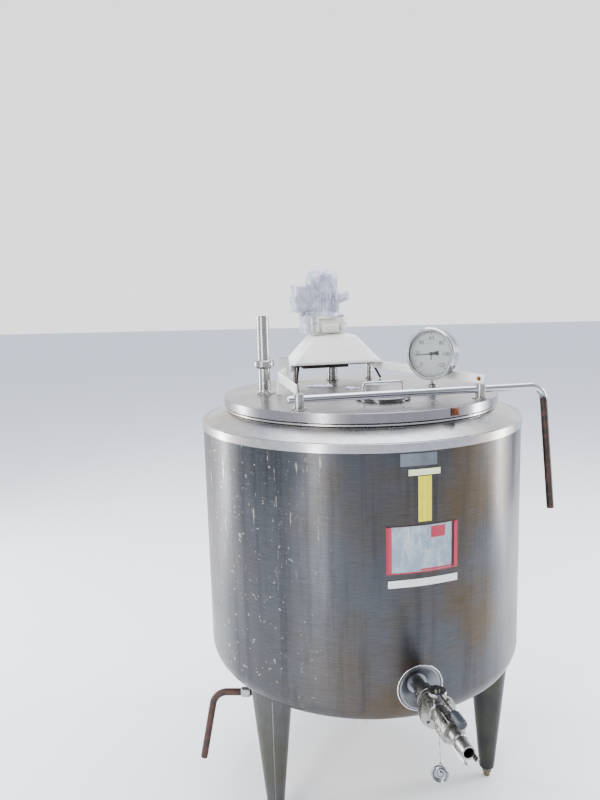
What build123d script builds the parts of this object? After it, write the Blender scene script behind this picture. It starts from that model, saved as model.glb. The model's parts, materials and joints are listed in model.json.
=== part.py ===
"""Jacketed milk tank on three tapered legs, with a lift-off lid that carries the agitator drive.

Millimetres, +Z up. The origin is on the floor, on the axis of the tank, and the front is -Y.
"""
from build123d import *
from math import cos, pi, radians, sin, sqrt, tan
import os

# ---------------------------------------------------------------- driving dimensions
# tank body
shell_radius = 497.0          # outside of the outer shell
shell_wall = 2.0
shell_bottom_z = 430.0
knuckle_radius = 70.0         # rounding between the shell's side and its bottom
rim_z = 1209.0                # where the shoulder meets the shell
rim_lip = 3.0                 # how far the folded rim stands outside the shell
rim_rise = 5.0                # how far the rim stands above the shell's edge
rim_width = 9.0               # flat part of the shoulder that sits on the shell's edge
rim_skirt = 19.0              # how far the shoulder's folded skirt hangs down over the shell
shoulder_rise = 35.0
shoulder_wall = 2.5
vessel_inset = 82.0           # from the outside of the shell to the inside of the milk vessel
vessel_wall = 2.5
vessel_stand = 27.7           # how far the vessel's rim stands above the shoulder
floor_slope = 2.0             # degrees, falling towards the outlet
jacket_gap = 22.0
jacket_wall = 2.0
jacket_top_z = 1000.0
bead_width = 7.0              # rolled bead round the neck
bead_height = 7.0

# legs
leg_inset = 86.0              # from the outside of the shell to a leg's axis
leg_azimuths = {"right": -11.0, "left": -131.0, "rear": 109.0}
leg_top_radius = 61.0         # at the level of the shell's bottom
leg_foot_radius = 24.0
leg_wall = 3.0
leg_bottom_z = 28.0
leg_tip_bevel = (6.0, 8.0)    # inwards, upwards
leg_tip_floor = 12.0          # thickness of the solid end of a leg
foot_collar_radius = 13.0
foot_collar_z = 14.0
foot_pad_radius = 10.0

# outlet and its valve
outlet_azimuth = -72.0
outlet_z = 542.0
pipe_radius = 19.0            # outside of every 38 mm dairy pipe
pipe_wall = 1.5
dish_radius = 64.0
dish_depth = 24.0
dish_flat = 9.0               # width of the flat ring at the bottom of the dish
valve_reach = 23.0            # from the outside of the shell to the start of the valve
stem_reach = 80.0             # distances along the outlet, from the start of the valve
union_reach = 130.0
spigot_reach = 215.0
mouth_reach = 255.0
seat_depth = 8.0              # rubber seat's thickness round the bore
seat_half_width = 8.0
flange_width = 20.0           # from the seat out to the flange's rim
flange_flat = 3.0             # how far the flange's top is cut down under the lever's cap
ring_step = 9.0               # how far the ring behind the flange steps in from its rim
hub_wall = 3.0                # from the seat out to the valve's hub
flange_half_length = 11.0
collar_step = 4.0             # how far the outlet half's collar steps in from the seat
hub_length = 20.0
bolt_radius = 3.0
bolt_head_radius = 5.0
bolt_head_height = 5.0
disc_thickness = 4.0
disc_clearance = 0.3
stem_radius = 5.0
cap_gap = 1.0                 # from the flange's flat top up to the lever's round cap
lever_cap_radius = 24.0
lever_cap_height = 9.0
lever_boss_radius = 8.0
lever_boss_height = 5.0
lever_rod_radius = 4.5
lever_length = 146.0
grip_length = 52.0
grip_radius = 12.5
mouth_step = 2.5              # how far the mouth's spigot steps in from the pipe
mouth_wall = 3.5
nut_width = 6.0               # from the seat's radius out to the union nut's rim
nut_length = 46.0
nut_slots = 6
nut_slot_radius = 5.0
ear_size = (5.0, 11.0)        # locking ears at the mouth: thickness, width
ear_overhang = 12.0           # how far the ears reach past the mouth

# running fits
running_clearance = 0.05
body_gap = 0.3                # between pieces of different bodies that only rest on each other

# lid
lid_overhang = 13.0           # from the inside of the vessel to the outside of the lid
lid_stand = 8.3               # from the vessel's rim to the top of the lid
lid_thickness = 3.0
lid_skirt = 26.0
skirt_wall = 2.0
hatch_centre = (71.0, -175.0)
hatch_hole_radius = 70.0
hatch_radius = 80.0
hatch_wall = 2.0
hatch_plate = 3.0
hatch_lip = 5.0
hatch_collar = 8.0            # height of the raised collar round the hatch hole
hatch_handle_width = 122.0
hatch_handle_height = 38.0
hatch_wire = 3.0              # radius of the handle's wire
hatch_wire_bend = 10.0

# swinging bar
bar_start = (-0.383, -0.804)  # plan place of the left lug, as a part of the lid's radius
bar_angle = 16.4              # degrees from +X
bar_radius = 10.65
bar_wall = 2.3
bar_tail = 32.0               # how far the bar sticks out to the left of its left lug
lug_rise = 27.0               # from the lid up to the bar's axis
lug_span = 1.25               # between the lugs, as a part of the lid's radius
lug_wall = 4.35
lug_foot = (22.0, 3.0)        # radius, thickness
rim_clearance = 54.7          # from the tank's rim to the corner of the bar
bar_bend = 45.0
bar_drop = 374.0
bar_lean = 36.0               # how far the drop leans outwards

# white arms from the lugs to the motor stand
arm_height = 25.0
arm_thickness = 6.0
arm_knee = (-252.0, -45.0)
knee_post_radius = 7.5
upright_size = (34.0, 66.0)   # loose plate on the left arm: width, height
upright_at = 130.0            # from the knee, towards the motor stand
arm_bolt_radius = 3.4
arm_bolt_head = (6.0, 5.0)    # radius, height

# agitator and drive
shaft_centre = (-95.0, 290.0)
shaft_radius = 10.0
shaft_bottom_z = 600.0
housing_wall = 8.0
housing_foot = (23.0, 3.0)    # radius, thickness
post_span = 276.0
post_radius = 11.0
post_foot = (14.0, 3.0)
bridge_thickness = 10.0
bridge_length = 300.0
bridge_width = 80.0
drive_plate = (164.0, 8.0)     # length and thickness of the stiffener under the bridge
hood_bottom = (318.0, 196.0)
hood_top = (146.0, 116.0)
hood_height = 96.0
hood_wall = 2.0
lantern_radius = 52.0
lantern_wall = 5.0
lantern_height = 100.0
lantern_window = (52.0, 64.0)
gearbox_size = (150.0, 120.0, 68.0)
gearbox_bolt_size = 6.5       # half the width across a bolt head's corners
gearbox_bolt_gap = 20.0
motor_offset = -32.0          # motor axis from the agitator shaft, along the bar's direction
motor_flange_radius = 56.0
motor_flange_thickness = 8.0
motor_radius = 48.0
fin_height = 4.0
fin_count = 32
fin_thickness = 2.6
motor_length = 97.0
fan_cover_length = 42.0
fan_cover_radius = 52.5
fan_cover_wall = 2.0
end_ring_height = 4.0         # of the motor's end ring, below and above its edge
terminal_box_size = (44.0, 82.0, 88.0)
terminal_lid_depth = 14.0
wrap_gap = 3.0
wrap_wall = 1.0
impeller_radius = 85.0
impeller_hub_wall = 14.0
impeller_hub_height = 42.0
blade_count = 3
blade_pitch = 40.0
blade_thickness = 5.0
blade_width = 44.0

# filling pipe
fill_centre = (-299.0, -25.0)
fill_union_rise = 93.0        # heights above the lid
fill_top_rise = 245.0
fill_below_lid = 60.0

# thermometer
thermo_centre = (224.0, -76.0)
thermo_azimuth = -122.5       # the way the dial faces
case_rise = 44.0              # from the lid to the bottom of the case
case_radius = 77.0
case_depth = 44.0
arm_slant = 0.486             # slope, across the dial's way, of the right arm behind the case
arm_behind = 53.9             # sets how far the case stands in front of that arm
case_wall = 2.0
bezel_width = 3.0
dial_inset = 12.0             # from the front of the case back to the dial
dial_thickness = 1.5
glass_gap = 6.0
glass_thickness = 3.0
probe_radius = 6.0
probe_length = 520.0
pointer_spindle = 2.5
pointer_tip = 58.0            # lengths from the spindle
pointer_tail = (25.0, 7.5)    # length, half width at its end
pointer_angle = 187.0         # at rest, anticlockwise from the right as the dial is read

# jacket connections
drain_start = (-150.0, -200.0)
drain_z = 356.0
drain_corner = (-466.0, -208.0)
drain_end = (-509.0, -216.0, 136.0)
drain_radius = 11.0
drain_bore = 8.5
drain_bend = 48.0
drain_top_bend = 40.0
socket_radius = 15.5
socket_length = 28.0
socket_at = 204.0             # from the drain pipe's start to its socket
stub_centre = (-8.0, -330.0)
stub_radius = 13.5
stub_wall = 3.0
stub_bottom_z = 372.0
plug_radius = 23.0
plug_height = 34.0

# document holder on the shell
holder_from = -82.6
holder_to = -59.4
holder_low_z = 867.0
holder_high_z = 994.0
holder_thickness = 1.2
pocket_thickness = 2.4
pocket_margin = 2.2           # degrees of backing left showing at each side
pocket_floor = 5.0            # backing left showing below the pocket

# string that holds the blanking cap: along from the spindle, then sideways and up, as parts of the
# union nut's radius
cord_radius = 1.25
cord_route = [
    (12.0, -0.394, 1.124),
    (24.0, -0.576, 1.167),
    (40.0, -0.758, 1.030),
    (60.0, -0.894, 0.833),
    (80.0, -1.000, 0.636),
    (92.0, -1.091, 0.212),
    (96.0, -1.106, -0.424),
    (95.5, -1.061, -1.273),
    (97.0, -1.045, -2.182),
]
cap_radius = 21.5
cap_thickness = 12.0
cap_edge = 3.0
cap_groove = (16.5, 13.5, 5.0)  # outer radius, inner radius, depth
cap_eye = (12.0, 12.0, 8.0)   # width, height, thickness
cap_drop = 4.0                # from the end of the string to the cap's rim
cap_azimuth = -100.0          # the way the cap faces

# ---------------------------------------------------------------- derived places
pipe_bore = pipe_radius - pipe_wall
neck_z = rim_z + shoulder_rise
vessel_top_z = neck_z + vessel_stand
vessel_radius = shell_radius - vessel_inset
vessel_outer = vessel_radius + vessel_wall
lid_radius = vessel_radius + lid_overhang
lid_top_z = vessel_top_z + lid_stand
lid_under_z = lid_top_z - lid_thickness
jacket_outer = vessel_outer + jacket_gap + jacket_wall
floor_mid_z = outlet_z - pipe_bore + vessel_radius * tan(radians(floor_slope))
jacket_bottom_z = outlet_z - pipe_bore - vessel_wall - jacket_gap - jacket_wall
leg_circle = shell_radius - leg_inset
seat_radius = pipe_radius + seat_depth
flange_radius = seat_radius + flange_width
nut_radius = seat_radius + nut_width
valve_start = shell_radius + valve_reach
stem_at = valve_start + stem_reach
union_at = valve_start + union_reach
spigot_step_at = valve_start + spigot_reach
mouth_at = valve_start + mouth_reach
mouth_radius = pipe_radius - mouth_step
mouth_bore = mouth_radius - mouth_wall
flange_top_z = outlet_z + flange_radius - flange_flat
lever_cap_z = flange_top_z + cap_gap
lever_z = lever_cap_z + lever_cap_height / 2
housing_radius = shaft_radius + housing_wall
impeller_hub_radius = shaft_radius + impeller_hub_wall
fill_union_z = lid_top_z + fill_union_rise
fill_top_z = lid_top_z + fill_top_rise
dial_z = lid_top_z + case_rise + case_radius
bezel_radius = case_radius + bezel_width
bar_z = lid_top_z + lug_rise
lug_radius = bar_radius + lug_wall
lug_top_z = bar_z + lug_radius
hood_z = lug_top_z + arm_height
bridge_z = hood_z - bridge_thickness
gearbox_z = hood_z + lantern_height
motor_z = gearbox_z + gearbox_size[2]
motor_top_z = motor_z + motor_flange_thickness + motor_length + fan_cover_length
case_behind = hood_z - lid_top_z - case_rise
case_chord = sqrt(case_radius ** 2 - (case_radius - case_behind) ** 2)
case_back = arm_slant * case_chord - arm_behind
case_front = case_back + case_depth
dial_at = case_front - dial_inset
right_lug_at = lug_span * lid_radius
bar_along = (cos(radians(bar_angle)), sin(radians(bar_angle)))
bar_from = (bar_start[0] * lid_radius, bar_start[1] * lid_radius)
bar_before_middle = -(bar_from[0] * bar_along[0] + bar_from[1] * bar_along[1])
bar_offset = abs(bar_from[0] * bar_along[1] - bar_from[1] * bar_along[0])
bar_corner = bar_before_middle + sqrt((shell_radius + rim_lip + rim_clearance) ** 2 - bar_offset ** 2)


def around(azimuth, radius, height=0.0):
    """A point at an azimuth and radius about the tank's axis."""
    return (radius * cos(radians(azimuth)), radius * sin(radians(azimuth)), height)


def section(azimuth, origin=(0.0, 0.0, 0.0)):
    """An upright plane whose local x runs outwards at an azimuth and whose local y is up."""
    out = around(azimuth, 1.0)
    return Plane(origin=origin, x_dir=out, z_dir=(out[1], -out[0], 0))


def facing(azimuth, origin):
    """A plane that faces an azimuth, with local y up."""
    out = around(azimuth, 1.0)
    return Plane(origin=origin, x_dir=(-out[1], out[0], 0), z_dir=out)


def outline(plane, *points):
    """A closed flat face through the points."""
    with BuildSketch(plane) as face:
        with BuildLine():
            Polyline(*points, close=True)
        make_face()
    return face.sketch


def ring(plane, outer, inner=0.0):
    """A flat disc, or a ring where an inner radius is given."""
    with BuildSketch(plane) as face:
        Circle(outer)
        if inner:
            Circle(inner, mode=Mode.SUBTRACT)
    return face.sketch


def turned(plane, angle):
    """The same plane, turned about its own normal."""
    x_dir = plane.x_dir * cos(radians(angle)) + plane.y_dir * sin(radians(angle))
    return Plane(origin=plane.origin, x_dir=x_dir, z_dir=plane.z_dir)


def on_bar(along, height):
    """A point at a distance along the swinging bar's line from the left lug."""
    return (bar_from[0] + along * bar_along[0], bar_from[1] + along * bar_along[1], height)


def across_bar(along):
    """A plane across the swinging bar at a distance from its left lug."""
    return Plane(origin=on_bar(along, bar_z), x_dir=(0, 0, 1), z_dir=(*bar_along, 0))


def at_shaft(height, along=0.0):
    """A level plane on the agitator shaft, turned with the bar, moved along its local x."""
    place = (shaft_centre[0] + along * bar_along[0], shaft_centre[1] + along * bar_along[1], height)
    return Plane(origin=place, x_dir=(*bar_along, 0), z_dir=(0, 0, 1))


def along_outlet(distance, side=0.0, height=outlet_z):
    """A point given by its distance along the outlet, its sideways place and its height."""
    out = around(outlet_azimuth, 1.0)
    return (out[0] * distance - out[1] * side, out[1] * distance + out[0] * side, height)


def outlet_face(distance):
    """A plane across the outlet pipe, facing outwards, with local y up."""
    return facing(outlet_azimuth, along_outlet(distance))


tank_axis = Axis.Z
outlet_axis = Axis(along_outlet(0.0), around(outlet_azimuth, 1.0))
outlet_section = section(outlet_azimuth, (0.0, 0.0, outlet_z))
stem_point = along_outlet(stem_at)


def bottom_holes(low_z, height):
    """The round holes that the drain pipe and the stub pass through, over a height."""
    with BuildPart() as holes:
        with BuildSketch(Plane.XY.offset(low_z)):
            with Locations(stub_centre):
                Circle(stub_radius)
            with Locations(drain_start):
                Circle(drain_radius)
        extrude(amount=height)
    return holes.part


# ---------------------------------------------------------------- milk vessel, jacket and shell
with BuildPart() as inner_vessel:
    floor_direction = around(outlet_azimuth, sin(radians(floor_slope)), cos(radians(floor_slope)))
    vessel_floor = Plane(origin=(0, 0, floor_mid_z), z_dir=floor_direction)
    extrude(ring(Plane.XY.offset(jacket_bottom_z), vessel_outer), amount=vessel_top_z - jacket_bottom_z)
    split(bisect_by=vessel_floor.offset(-vessel_wall), keep=Keep.TOP)
    with BuildPart(mode=Mode.PRIVATE) as milk:
        extrude(ring(Plane.XY.offset(jacket_bottom_z), vessel_radius), amount=vessel_top_z)
        split(bisect_by=vessel_floor, keep=Keep.TOP)
    add(milk.part, mode=Mode.SUBTRACT)
    extrude(ring(outlet_face(vessel_radius / 2), pipe_radius), amount=vessel_radius, mode=Mode.SUBTRACT)

with BuildPart() as jacket:
    jacket_inner = jacket_outer - jacket_wall
    revolve(outline(
        section(0.0),
        (0, jacket_bottom_z), (jacket_outer, jacket_bottom_z), (jacket_outer, jacket_top_z),
        (vessel_outer, jacket_top_z), (vessel_outer, jacket_top_z - jacket_wall),
        (jacket_inner, jacket_top_z - jacket_wall), (jacket_inner, jacket_bottom_z + jacket_wall),
        (0, jacket_bottom_z + jacket_wall)), axis=tank_axis)
    extrude(ring(outlet_face(vessel_radius), pipe_radius), amount=2 * jacket_gap + vessel_wall,
            mode=Mode.SUBTRACT)
    add(bottom_holes(jacket_bottom_z, jacket_wall), mode=Mode.SUBTRACT)


def shell_solid(inset):
    """The solid inside the outer shell's side and bottom, smaller by an inset."""
    radius = shell_radius - inset
    with BuildPart() as solid:
        low_z = shell_bottom_z + inset
        extrude(ring(Plane.XY.offset(low_z), radius), amount=rim_z - low_z)
        fillet(solid.edges().group_by(SortBy.LENGTH)[-1].sort_by(Axis.Z)[0], knuckle_radius - inset)
    return solid.part


dish_neck_at = shell_radius - dish_depth
dish_back_at = dish_neck_at - shell_wall
dish_front_at = shell_radius + 1
dish_edge = 3 * shell_wall    # width of the dish's slanting wall where it meets the shell

with BuildPart() as outlet_dish:
    revolve(outline(
        outlet_section,
        (dish_back_at, pipe_radius), (dish_neck_at, pipe_radius),
        (dish_neck_at, pipe_radius + dish_flat), (dish_front_at, dish_radius - dish_edge),
        (dish_front_at, dish_radius), (dish_back_at, pipe_radius + dish_flat + 1)), axis=outlet_axis)
    with BuildPart(mode=Mode.PRIVATE) as shell_side:
        extrude(ring(Plane.XY.offset(shell_bottom_z), shell_radius), amount=rim_z - shell_bottom_z)
    add(shell_side.part, mode=Mode.INTERSECT)

with BuildPart() as dish_space:
    revolve(outline(
        outlet_section,
        (vessel_radius, 0), (vessel_radius, pipe_radius), (dish_back_at, pipe_radius),
        (dish_back_at, pipe_radius + dish_flat + 1), (dish_front_at, dish_radius),
        (dish_front_at, 0)), axis=outlet_axis)

with BuildPart() as outer_shell:
    add(shell_solid(0.0))
    add(shell_solid(shell_wall), mode=Mode.SUBTRACT)
    add(dish_space.part, mode=Mode.SUBTRACT)
    add(bottom_holes(shell_bottom_z, shell_wall), mode=Mode.SUBTRACT)

with BuildPart() as insulation:
    add(shell_solid(shell_wall))
    extrude(ring(Plane.XY.offset(jacket_bottom_z), jacket_outer), amount=rim_z, mode=Mode.SUBTRACT)
    add(dish_space.part, mode=Mode.SUBTRACT)
    add(bottom_holes(shell_bottom_z, jacket_bottom_z - shell_bottom_z), mode=Mode.SUBTRACT)

rim_outer = shell_radius + rim_lip
rim_inner = shell_radius - rim_width

with BuildPart() as shoulder_cone:
    revolve(outline(
        section(0.0),
        (vessel_outer, neck_z), (rim_inner, rim_z + shoulder_wall), (rim_inner + 3, rim_z + rim_rise),
        (rim_outer - 1, rim_z + rim_rise), (rim_outer, rim_z + rim_rise - 1),
        (rim_outer, rim_z - rim_skirt), (shell_radius, rim_z - rim_skirt), (shell_radius, rim_z),
        (rim_inner, rim_z), (vessel_outer, neck_z - shoulder_wall)), axis=tank_axis)

bead_radius = vessel_outer + bead_width
with BuildPart() as neck_ring:
    revolve(outline(
        section(0.0),
        (vessel_outer, neck_z), (bead_radius - 1, neck_z), (bead_radius, neck_z + 1),
        (bead_radius, neck_z + bead_height - 2), (bead_radius - 2, neck_z + bead_height),
        (vessel_outer, neck_z + bead_height)), axis=tank_axis)

# ---------------------------------------------------------------- legs and feet
shell_envelope = shell_solid(0.0)
leg_slope = (leg_top_radius - leg_foot_radius) / (shell_bottom_z - leg_bottom_z)
legs = {}
for name, azimuth in leg_azimuths.items():
    with BuildPart() as leg:
        leg_plane = section(azimuth, around(azimuth, leg_circle))
        leg_reach_z = shell_bottom_z + knuckle_radius
        leg_reach_radius = leg_top_radius + leg_slope * knuckle_radius
        revolve(outline(
            leg_plane,
            (0, leg_bottom_z), (leg_foot_radius - leg_tip_bevel[0], leg_bottom_z),
            (leg_foot_radius, leg_bottom_z + leg_tip_bevel[1]),
            (leg_reach_radius, leg_reach_z), (leg_reach_radius - leg_wall, leg_reach_z),
            (leg_foot_radius - leg_wall, leg_bottom_z + leg_tip_floor), (0, leg_bottom_z + leg_tip_floor)),
            axis=Axis(around(azimuth, leg_circle), (0, 0, 1)))
        add(shell_envelope, mode=Mode.SUBTRACT)
    legs[name] = leg

with BuildPart() as feet:
    for azimuth in leg_azimuths.values():
        foot_place = around(azimuth, leg_circle)
        revolve(outline(
            section(azimuth, foot_place),
            (0, 0), (foot_pad_radius - 1.5, 0), (foot_pad_radius, 1.5),
            (foot_pad_radius, foot_collar_z - 2), (foot_collar_radius, foot_collar_z),
            (foot_collar_radius, leg_bottom_z), (0, leg_bottom_z)),
            axis=Axis(foot_place, (0, 0, 1)))

# ---------------------------------------------------------------- outlet, valve and union
with BuildPart() as outlet_neck:
    revolve(outline(
        outlet_section,
        (vessel_radius + 1, pipe_bore), (valve_start + 2, pipe_bore), (valve_start + 2, seat_radius - 1),
        (valve_start - 4, seat_radius - 1), (valve_start - 9, pipe_radius),
        (vessel_radius + 1, pipe_radius)), axis=outlet_axis)


def stem_hole():
    """The upright hole that the valve's spindle turns in."""
    with BuildPart() as hole:
        extrude(ring(Plane(origin=stem_point), stem_radius + running_clearance), amount=flange_radius * 2,
                both=True)
    return hole.part


def bolt_faces(plane, radius):
    """Circles for the four flange bolts, clear of the upright spindle."""
    with BuildSketch(plane) as face:
        with PolarLocations(bolt_circle, 4, start_angle=45):
            Circle(radius)
    return face.sketch


bolt_circle = (flange_radius + seat_radius) / 2
flange_back = stem_at - flange_half_length
flange_front = stem_at + flange_half_length
flange_length = 2 * flange_half_length
ring_front = flange_back - bolt_head_height - 1
ring_radius = flange_radius - ring_step
hub_back = flange_back - hub_length
hub_radius = seat_radius + hub_wall
thread_radius = seat_radius - 0.5

with BuildPart() as valve_inlet_half:
    revolve(outline(
        outlet_section,
        (valve_start + 2, pipe_bore), (stem_at - seat_half_width, pipe_bore),
        (stem_at - seat_half_width, seat_radius), (stem_at, seat_radius), (stem_at, flange_radius),
        (flange_back, flange_radius), (flange_back, hub_radius), (ring_front, hub_radius),
        (ring_front, ring_radius), (hub_back, ring_radius - 2), (hub_back, hub_radius),
        (valve_start + hub_length, hub_radius - 1),
        (valve_start + hub_length, seat_radius), (valve_start + 2, seat_radius)), axis=outlet_axis)
    extrude(bolt_faces(outlet_face(flange_back), bolt_radius), amount=flange_length, mode=Mode.SUBTRACT)
    add(stem_hole(), mode=Mode.SUBTRACT)
    split(bisect_by=Plane.XY.offset(flange_top_z), keep=Keep.BOTTOM)

thread_length = 28.0
thread_end = union_at + thread_length
nut_start = union_at + 4
nut_end = nut_start + nut_length
nut_seat = nut_end - 8

with BuildPart() as valve_outlet_half:
    revolve(outline(
        outlet_section,
        (stem_at + seat_half_width, pipe_bore), (thread_end, pipe_bore), (thread_end, thread_radius),
        (union_at, thread_radius), (union_at, seat_radius - collar_step),
        (flange_front + 4, seat_radius - collar_step), (flange_front, seat_radius - 1),
        (flange_front, flange_radius), (stem_at, flange_radius), (stem_at, seat_radius),
        (stem_at + seat_half_width, seat_radius)), axis=outlet_axis)
    extrude(bolt_faces(outlet_face(stem_at), bolt_radius), amount=flange_length, mode=Mode.SUBTRACT)
    add(stem_hole(), mode=Mode.SUBTRACT)
    split(bisect_by=Plane.XY.offset(flange_top_z), keep=Keep.BOTTOM)

with BuildPart() as valve_seat:
    extrude(ring(outlet_face(stem_at - seat_half_width), seat_radius, pipe_bore),
            amount=2 * seat_half_width)
    add(stem_hole(), mode=Mode.SUBTRACT)

with BuildPart() as valve_bolts:
    extrude(bolt_faces(outlet_face(flange_back), bolt_radius), amount=flange_length)
    extrude(bolt_faces(outlet_face(flange_front), bolt_head_radius), amount=bolt_head_height)
    extrude(bolt_faces(outlet_face(flange_back), bolt_head_radius), amount=-bolt_head_height)

with BuildPart() as valve_disc:
    disc_plane = Plane(origin=stem_point, x_dir=around(outlet_azimuth, 1), z_dir=outlet_section.z_dir)
    extrude(ring(disc_plane, pipe_bore - disc_clearance), amount=disc_thickness / 2, both=True)
    extrude(ring(Plane(origin=along_outlet(stem_at, 0, outlet_z - seat_radius)), stem_radius),
            amount=lever_cap_z - outlet_z + seat_radius)

grip_end = stem_at + lever_length
grip_from = grip_end - grip_length
grip_socket = 22.0            # how deep the rod goes into the grip

with BuildPart() as valve_lever:
    cap_plane = Plane(origin=along_outlet(stem_at, 0, lever_cap_z))
    extrude(ring(cap_plane, lever_cap_radius), amount=lever_cap_height)
    chamfer(valve_lever.edges().filter_by(GeomType.CIRCLE), 1.2)
    extrude(ring(cap_plane.offset(lever_cap_height), lever_boss_radius), amount=lever_boss_height)
    rod_start = stem_at + lever_cap_radius - 9
    extrude(ring(facing(outlet_azimuth, along_outlet(rod_start, 0, lever_z)), lever_rod_radius),
            amount=grip_from + grip_socket - rod_start)

with BuildPart() as lever_grip:
    revolve(outline(
        section(outlet_azimuth, (0, 0, lever_z)),
        (grip_from, lever_rod_radius), (grip_from + grip_socket, lever_rod_radius),
        (grip_from + grip_socket, 0), (grip_end, 0), (grip_end, grip_radius - 3.5),
        (grip_end - 4, grip_radius), (grip_from + 12, grip_radius), (grip_from, grip_radius - 4.5)),
        axis=Axis(along_outlet(0, 0, lever_z), around(outlet_azimuth, 1)))

with BuildPart() as union_nut:
    revolve(outline(
        outlet_section,
        (nut_start, thread_radius), (thread_end + 2, thread_radius), (nut_seat, seat_radius - 1.5),
        (nut_seat, pipe_radius), (nut_end, pipe_radius), (nut_end, nut_radius - 6),
        (nut_end - 5, nut_radius), (nut_start + 4, nut_radius), (nut_start, nut_radius - 4)),
        axis=outlet_axis)
    with BuildSketch(outlet_face(union_at)):
        with PolarLocations(nut_radius + 2, nut_slots):
            Circle(nut_slot_radius)
    extrude(amount=nut_end, mode=Mode.SUBTRACT)

with BuildPart() as outlet_spigot:
    revolve(outline(
        outlet_section,
        (thread_end, pipe_bore), (spigot_step_at - 4, pipe_bore), (spigot_step_at, mouth_bore),
        (mouth_at, mouth_bore), (mouth_at, mouth_radius), (spigot_step_at + 2, mouth_radius),
        (spigot_step_at + 2, pipe_radius - 1), (spigot_step_at - 2, pipe_radius + 1),
        (spigot_step_at - 6, pipe_radius), (nut_seat, pipe_radius), (nut_seat, seat_radius - 2),
        (thread_end + 4, seat_radius - 2), (thread_end, seat_radius - 3)), axis=outlet_axis)
    ear_start = spigot_step_at - 14
    ear_middle = pipe_radius + ear_size[0] / 2 - pipe_wall / 3
    with BuildSketch(outlet_face(ear_start)):
        with PolarLocations(ear_middle, 2, start_angle=-130, angular_range=180):
            Rectangle(*ear_size)
    extrude(amount=mouth_at + ear_overhang - ear_start)

# ---------------------------------------------------------------- string and blanking cap
route = [along_outlet(stem_at + along, side * nut_radius, outlet_z + up * nut_radius)
         for along, side, up in cord_route]
bend_radii = []
for before, here, after in zip(route, route[1:], route[2:]):
    run_in = Vector(*here) - Vector(*before)
    run_out = Vector(*after) - Vector(*here)
    half_turn = radians(run_in.get_angle(run_out)) / 2
    bend_radii.append(0.45 * min(run_in.length, run_out.length) / tan(half_turn))

with BuildPart() as cap_cord:
    with BuildLine() as cord_path:
        FilletPolyline(*route, radius=bend_radii)
    with BuildSketch(Plane(origin=cord_path.line @ 0, z_dir=cord_path.line % 0)):
        Circle(cord_radius)
    sweep()
cord_length = sum(edge.length for edge in cord_path.edges())
print("string bends (radius, mm):", [round(radius, 1) for radius in bend_radii])
print("string length", round(cord_length, 1), "volume / (section x length)",
      round(cap_cord.part.volume / (pi * cord_radius ** 2 * cord_length), 4))

with BuildPart() as blank_cap:
    blank_face = facing(cap_azimuth, Vector(*route[-1]) - Vector(0, 0, cap_radius + cap_drop))
    extrude(ring(blank_face, cap_radius), amount=cap_thickness)
    fillet(blank_cap.edges().group_by(Axis((0, 0, 0), blank_face.z_dir))[0], cap_edge)
    extrude(ring(blank_face.offset(cap_thickness), *cap_groove[:2]), amount=-cap_groove[2],
            mode=Mode.SUBTRACT)
    with BuildSketch(blank_face.offset((cap_thickness - cap_eye[2]) / 2)):
        with Locations((0, cap_radius - cap_eye[1] / 2 + cap_drop)):
            Rectangle(*cap_eye[:2])
    extrude(amount=cap_eye[2])

# ---------------------------------------------------------------- jacket drain and stub
with BuildPart() as drain_pipe:
    with BuildLine() as drain_path:
        FilletPolyline(
            (*drain_start, jacket_bottom_z), (*drain_start, drain_z), (*drain_corner, drain_z), drain_end,
            radius=[drain_top_bend, drain_bend])
    with BuildSketch(Plane(origin=drain_path.line @ 0, z_dir=drain_path.line % 0)):
        Circle(drain_radius)
        Circle(drain_bore, mode=Mode.SUBTRACT)
    sweep()

with BuildPart() as drain_socket:
    drain_run = Vector(drain_corner[0] - drain_start[0], drain_corner[1] - drain_start[1], 0).normalized()
    socket_place = Vector(*drain_start, drain_z) + drain_run * socket_at
    extrude(ring(Plane(origin=socket_place, z_dir=drain_run), socket_radius, drain_radius),
            amount=socket_length)
    chamfer(drain_socket.edges().filter_by(GeomType.CIRCLE).group_by(SortBy.LENGTH)[-1], 2)

with BuildPart() as jacket_stub:
    stub_axis = Axis((*stub_centre, 0), (0, 0, 1))
    stub_section = section(0.0, (*stub_centre, 0))
    thread_z = stub_bottom_z - 6
    plug_bottom_z = stub_bottom_z - plug_height
    revolve(outline(
        stub_section,
        (stub_radius - stub_wall, thread_z), (stub_radius, thread_z), (stub_radius, jacket_bottom_z),
        (stub_radius - stub_wall, jacket_bottom_z)), axis=stub_axis)
    revolve(outline(
        stub_section,
        (0, plug_bottom_z), (plug_radius - 8, plug_bottom_z), (plug_radius, plug_bottom_z + 12),
        (plug_radius, stub_bottom_z), (stub_radius - 1, stub_bottom_z), (stub_radius - 1, thread_z),
        (0, thread_z)), axis=stub_axis)

# ---------------------------------------------------------------- document holder
def on_shell(azimuth_from, azimuth_to, low_z, high_z, inner, thickness):
    """A curved plate on the shell, between two azimuths and two heights."""
    with BuildPart() as plate:
        revolve(outline(
            section(azimuth_from), (inner, low_z), (inner + thickness, low_z), (inner + thickness, high_z),
            (inner, high_z)), axis=tank_axis, revolution_arc=azimuth_to - azimuth_from)
    return plate.part


with BuildPart() as holder_backing:
    add(on_shell(holder_from, holder_to, holder_low_z, holder_high_z, shell_radius, holder_thickness))

with BuildPart() as holder_pocket:
    add(on_shell(holder_from + pocket_margin / 2, holder_to - pocket_margin, holder_low_z + pocket_floor,
                 holder_high_z, shell_radius + holder_thickness, pocket_thickness))

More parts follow.
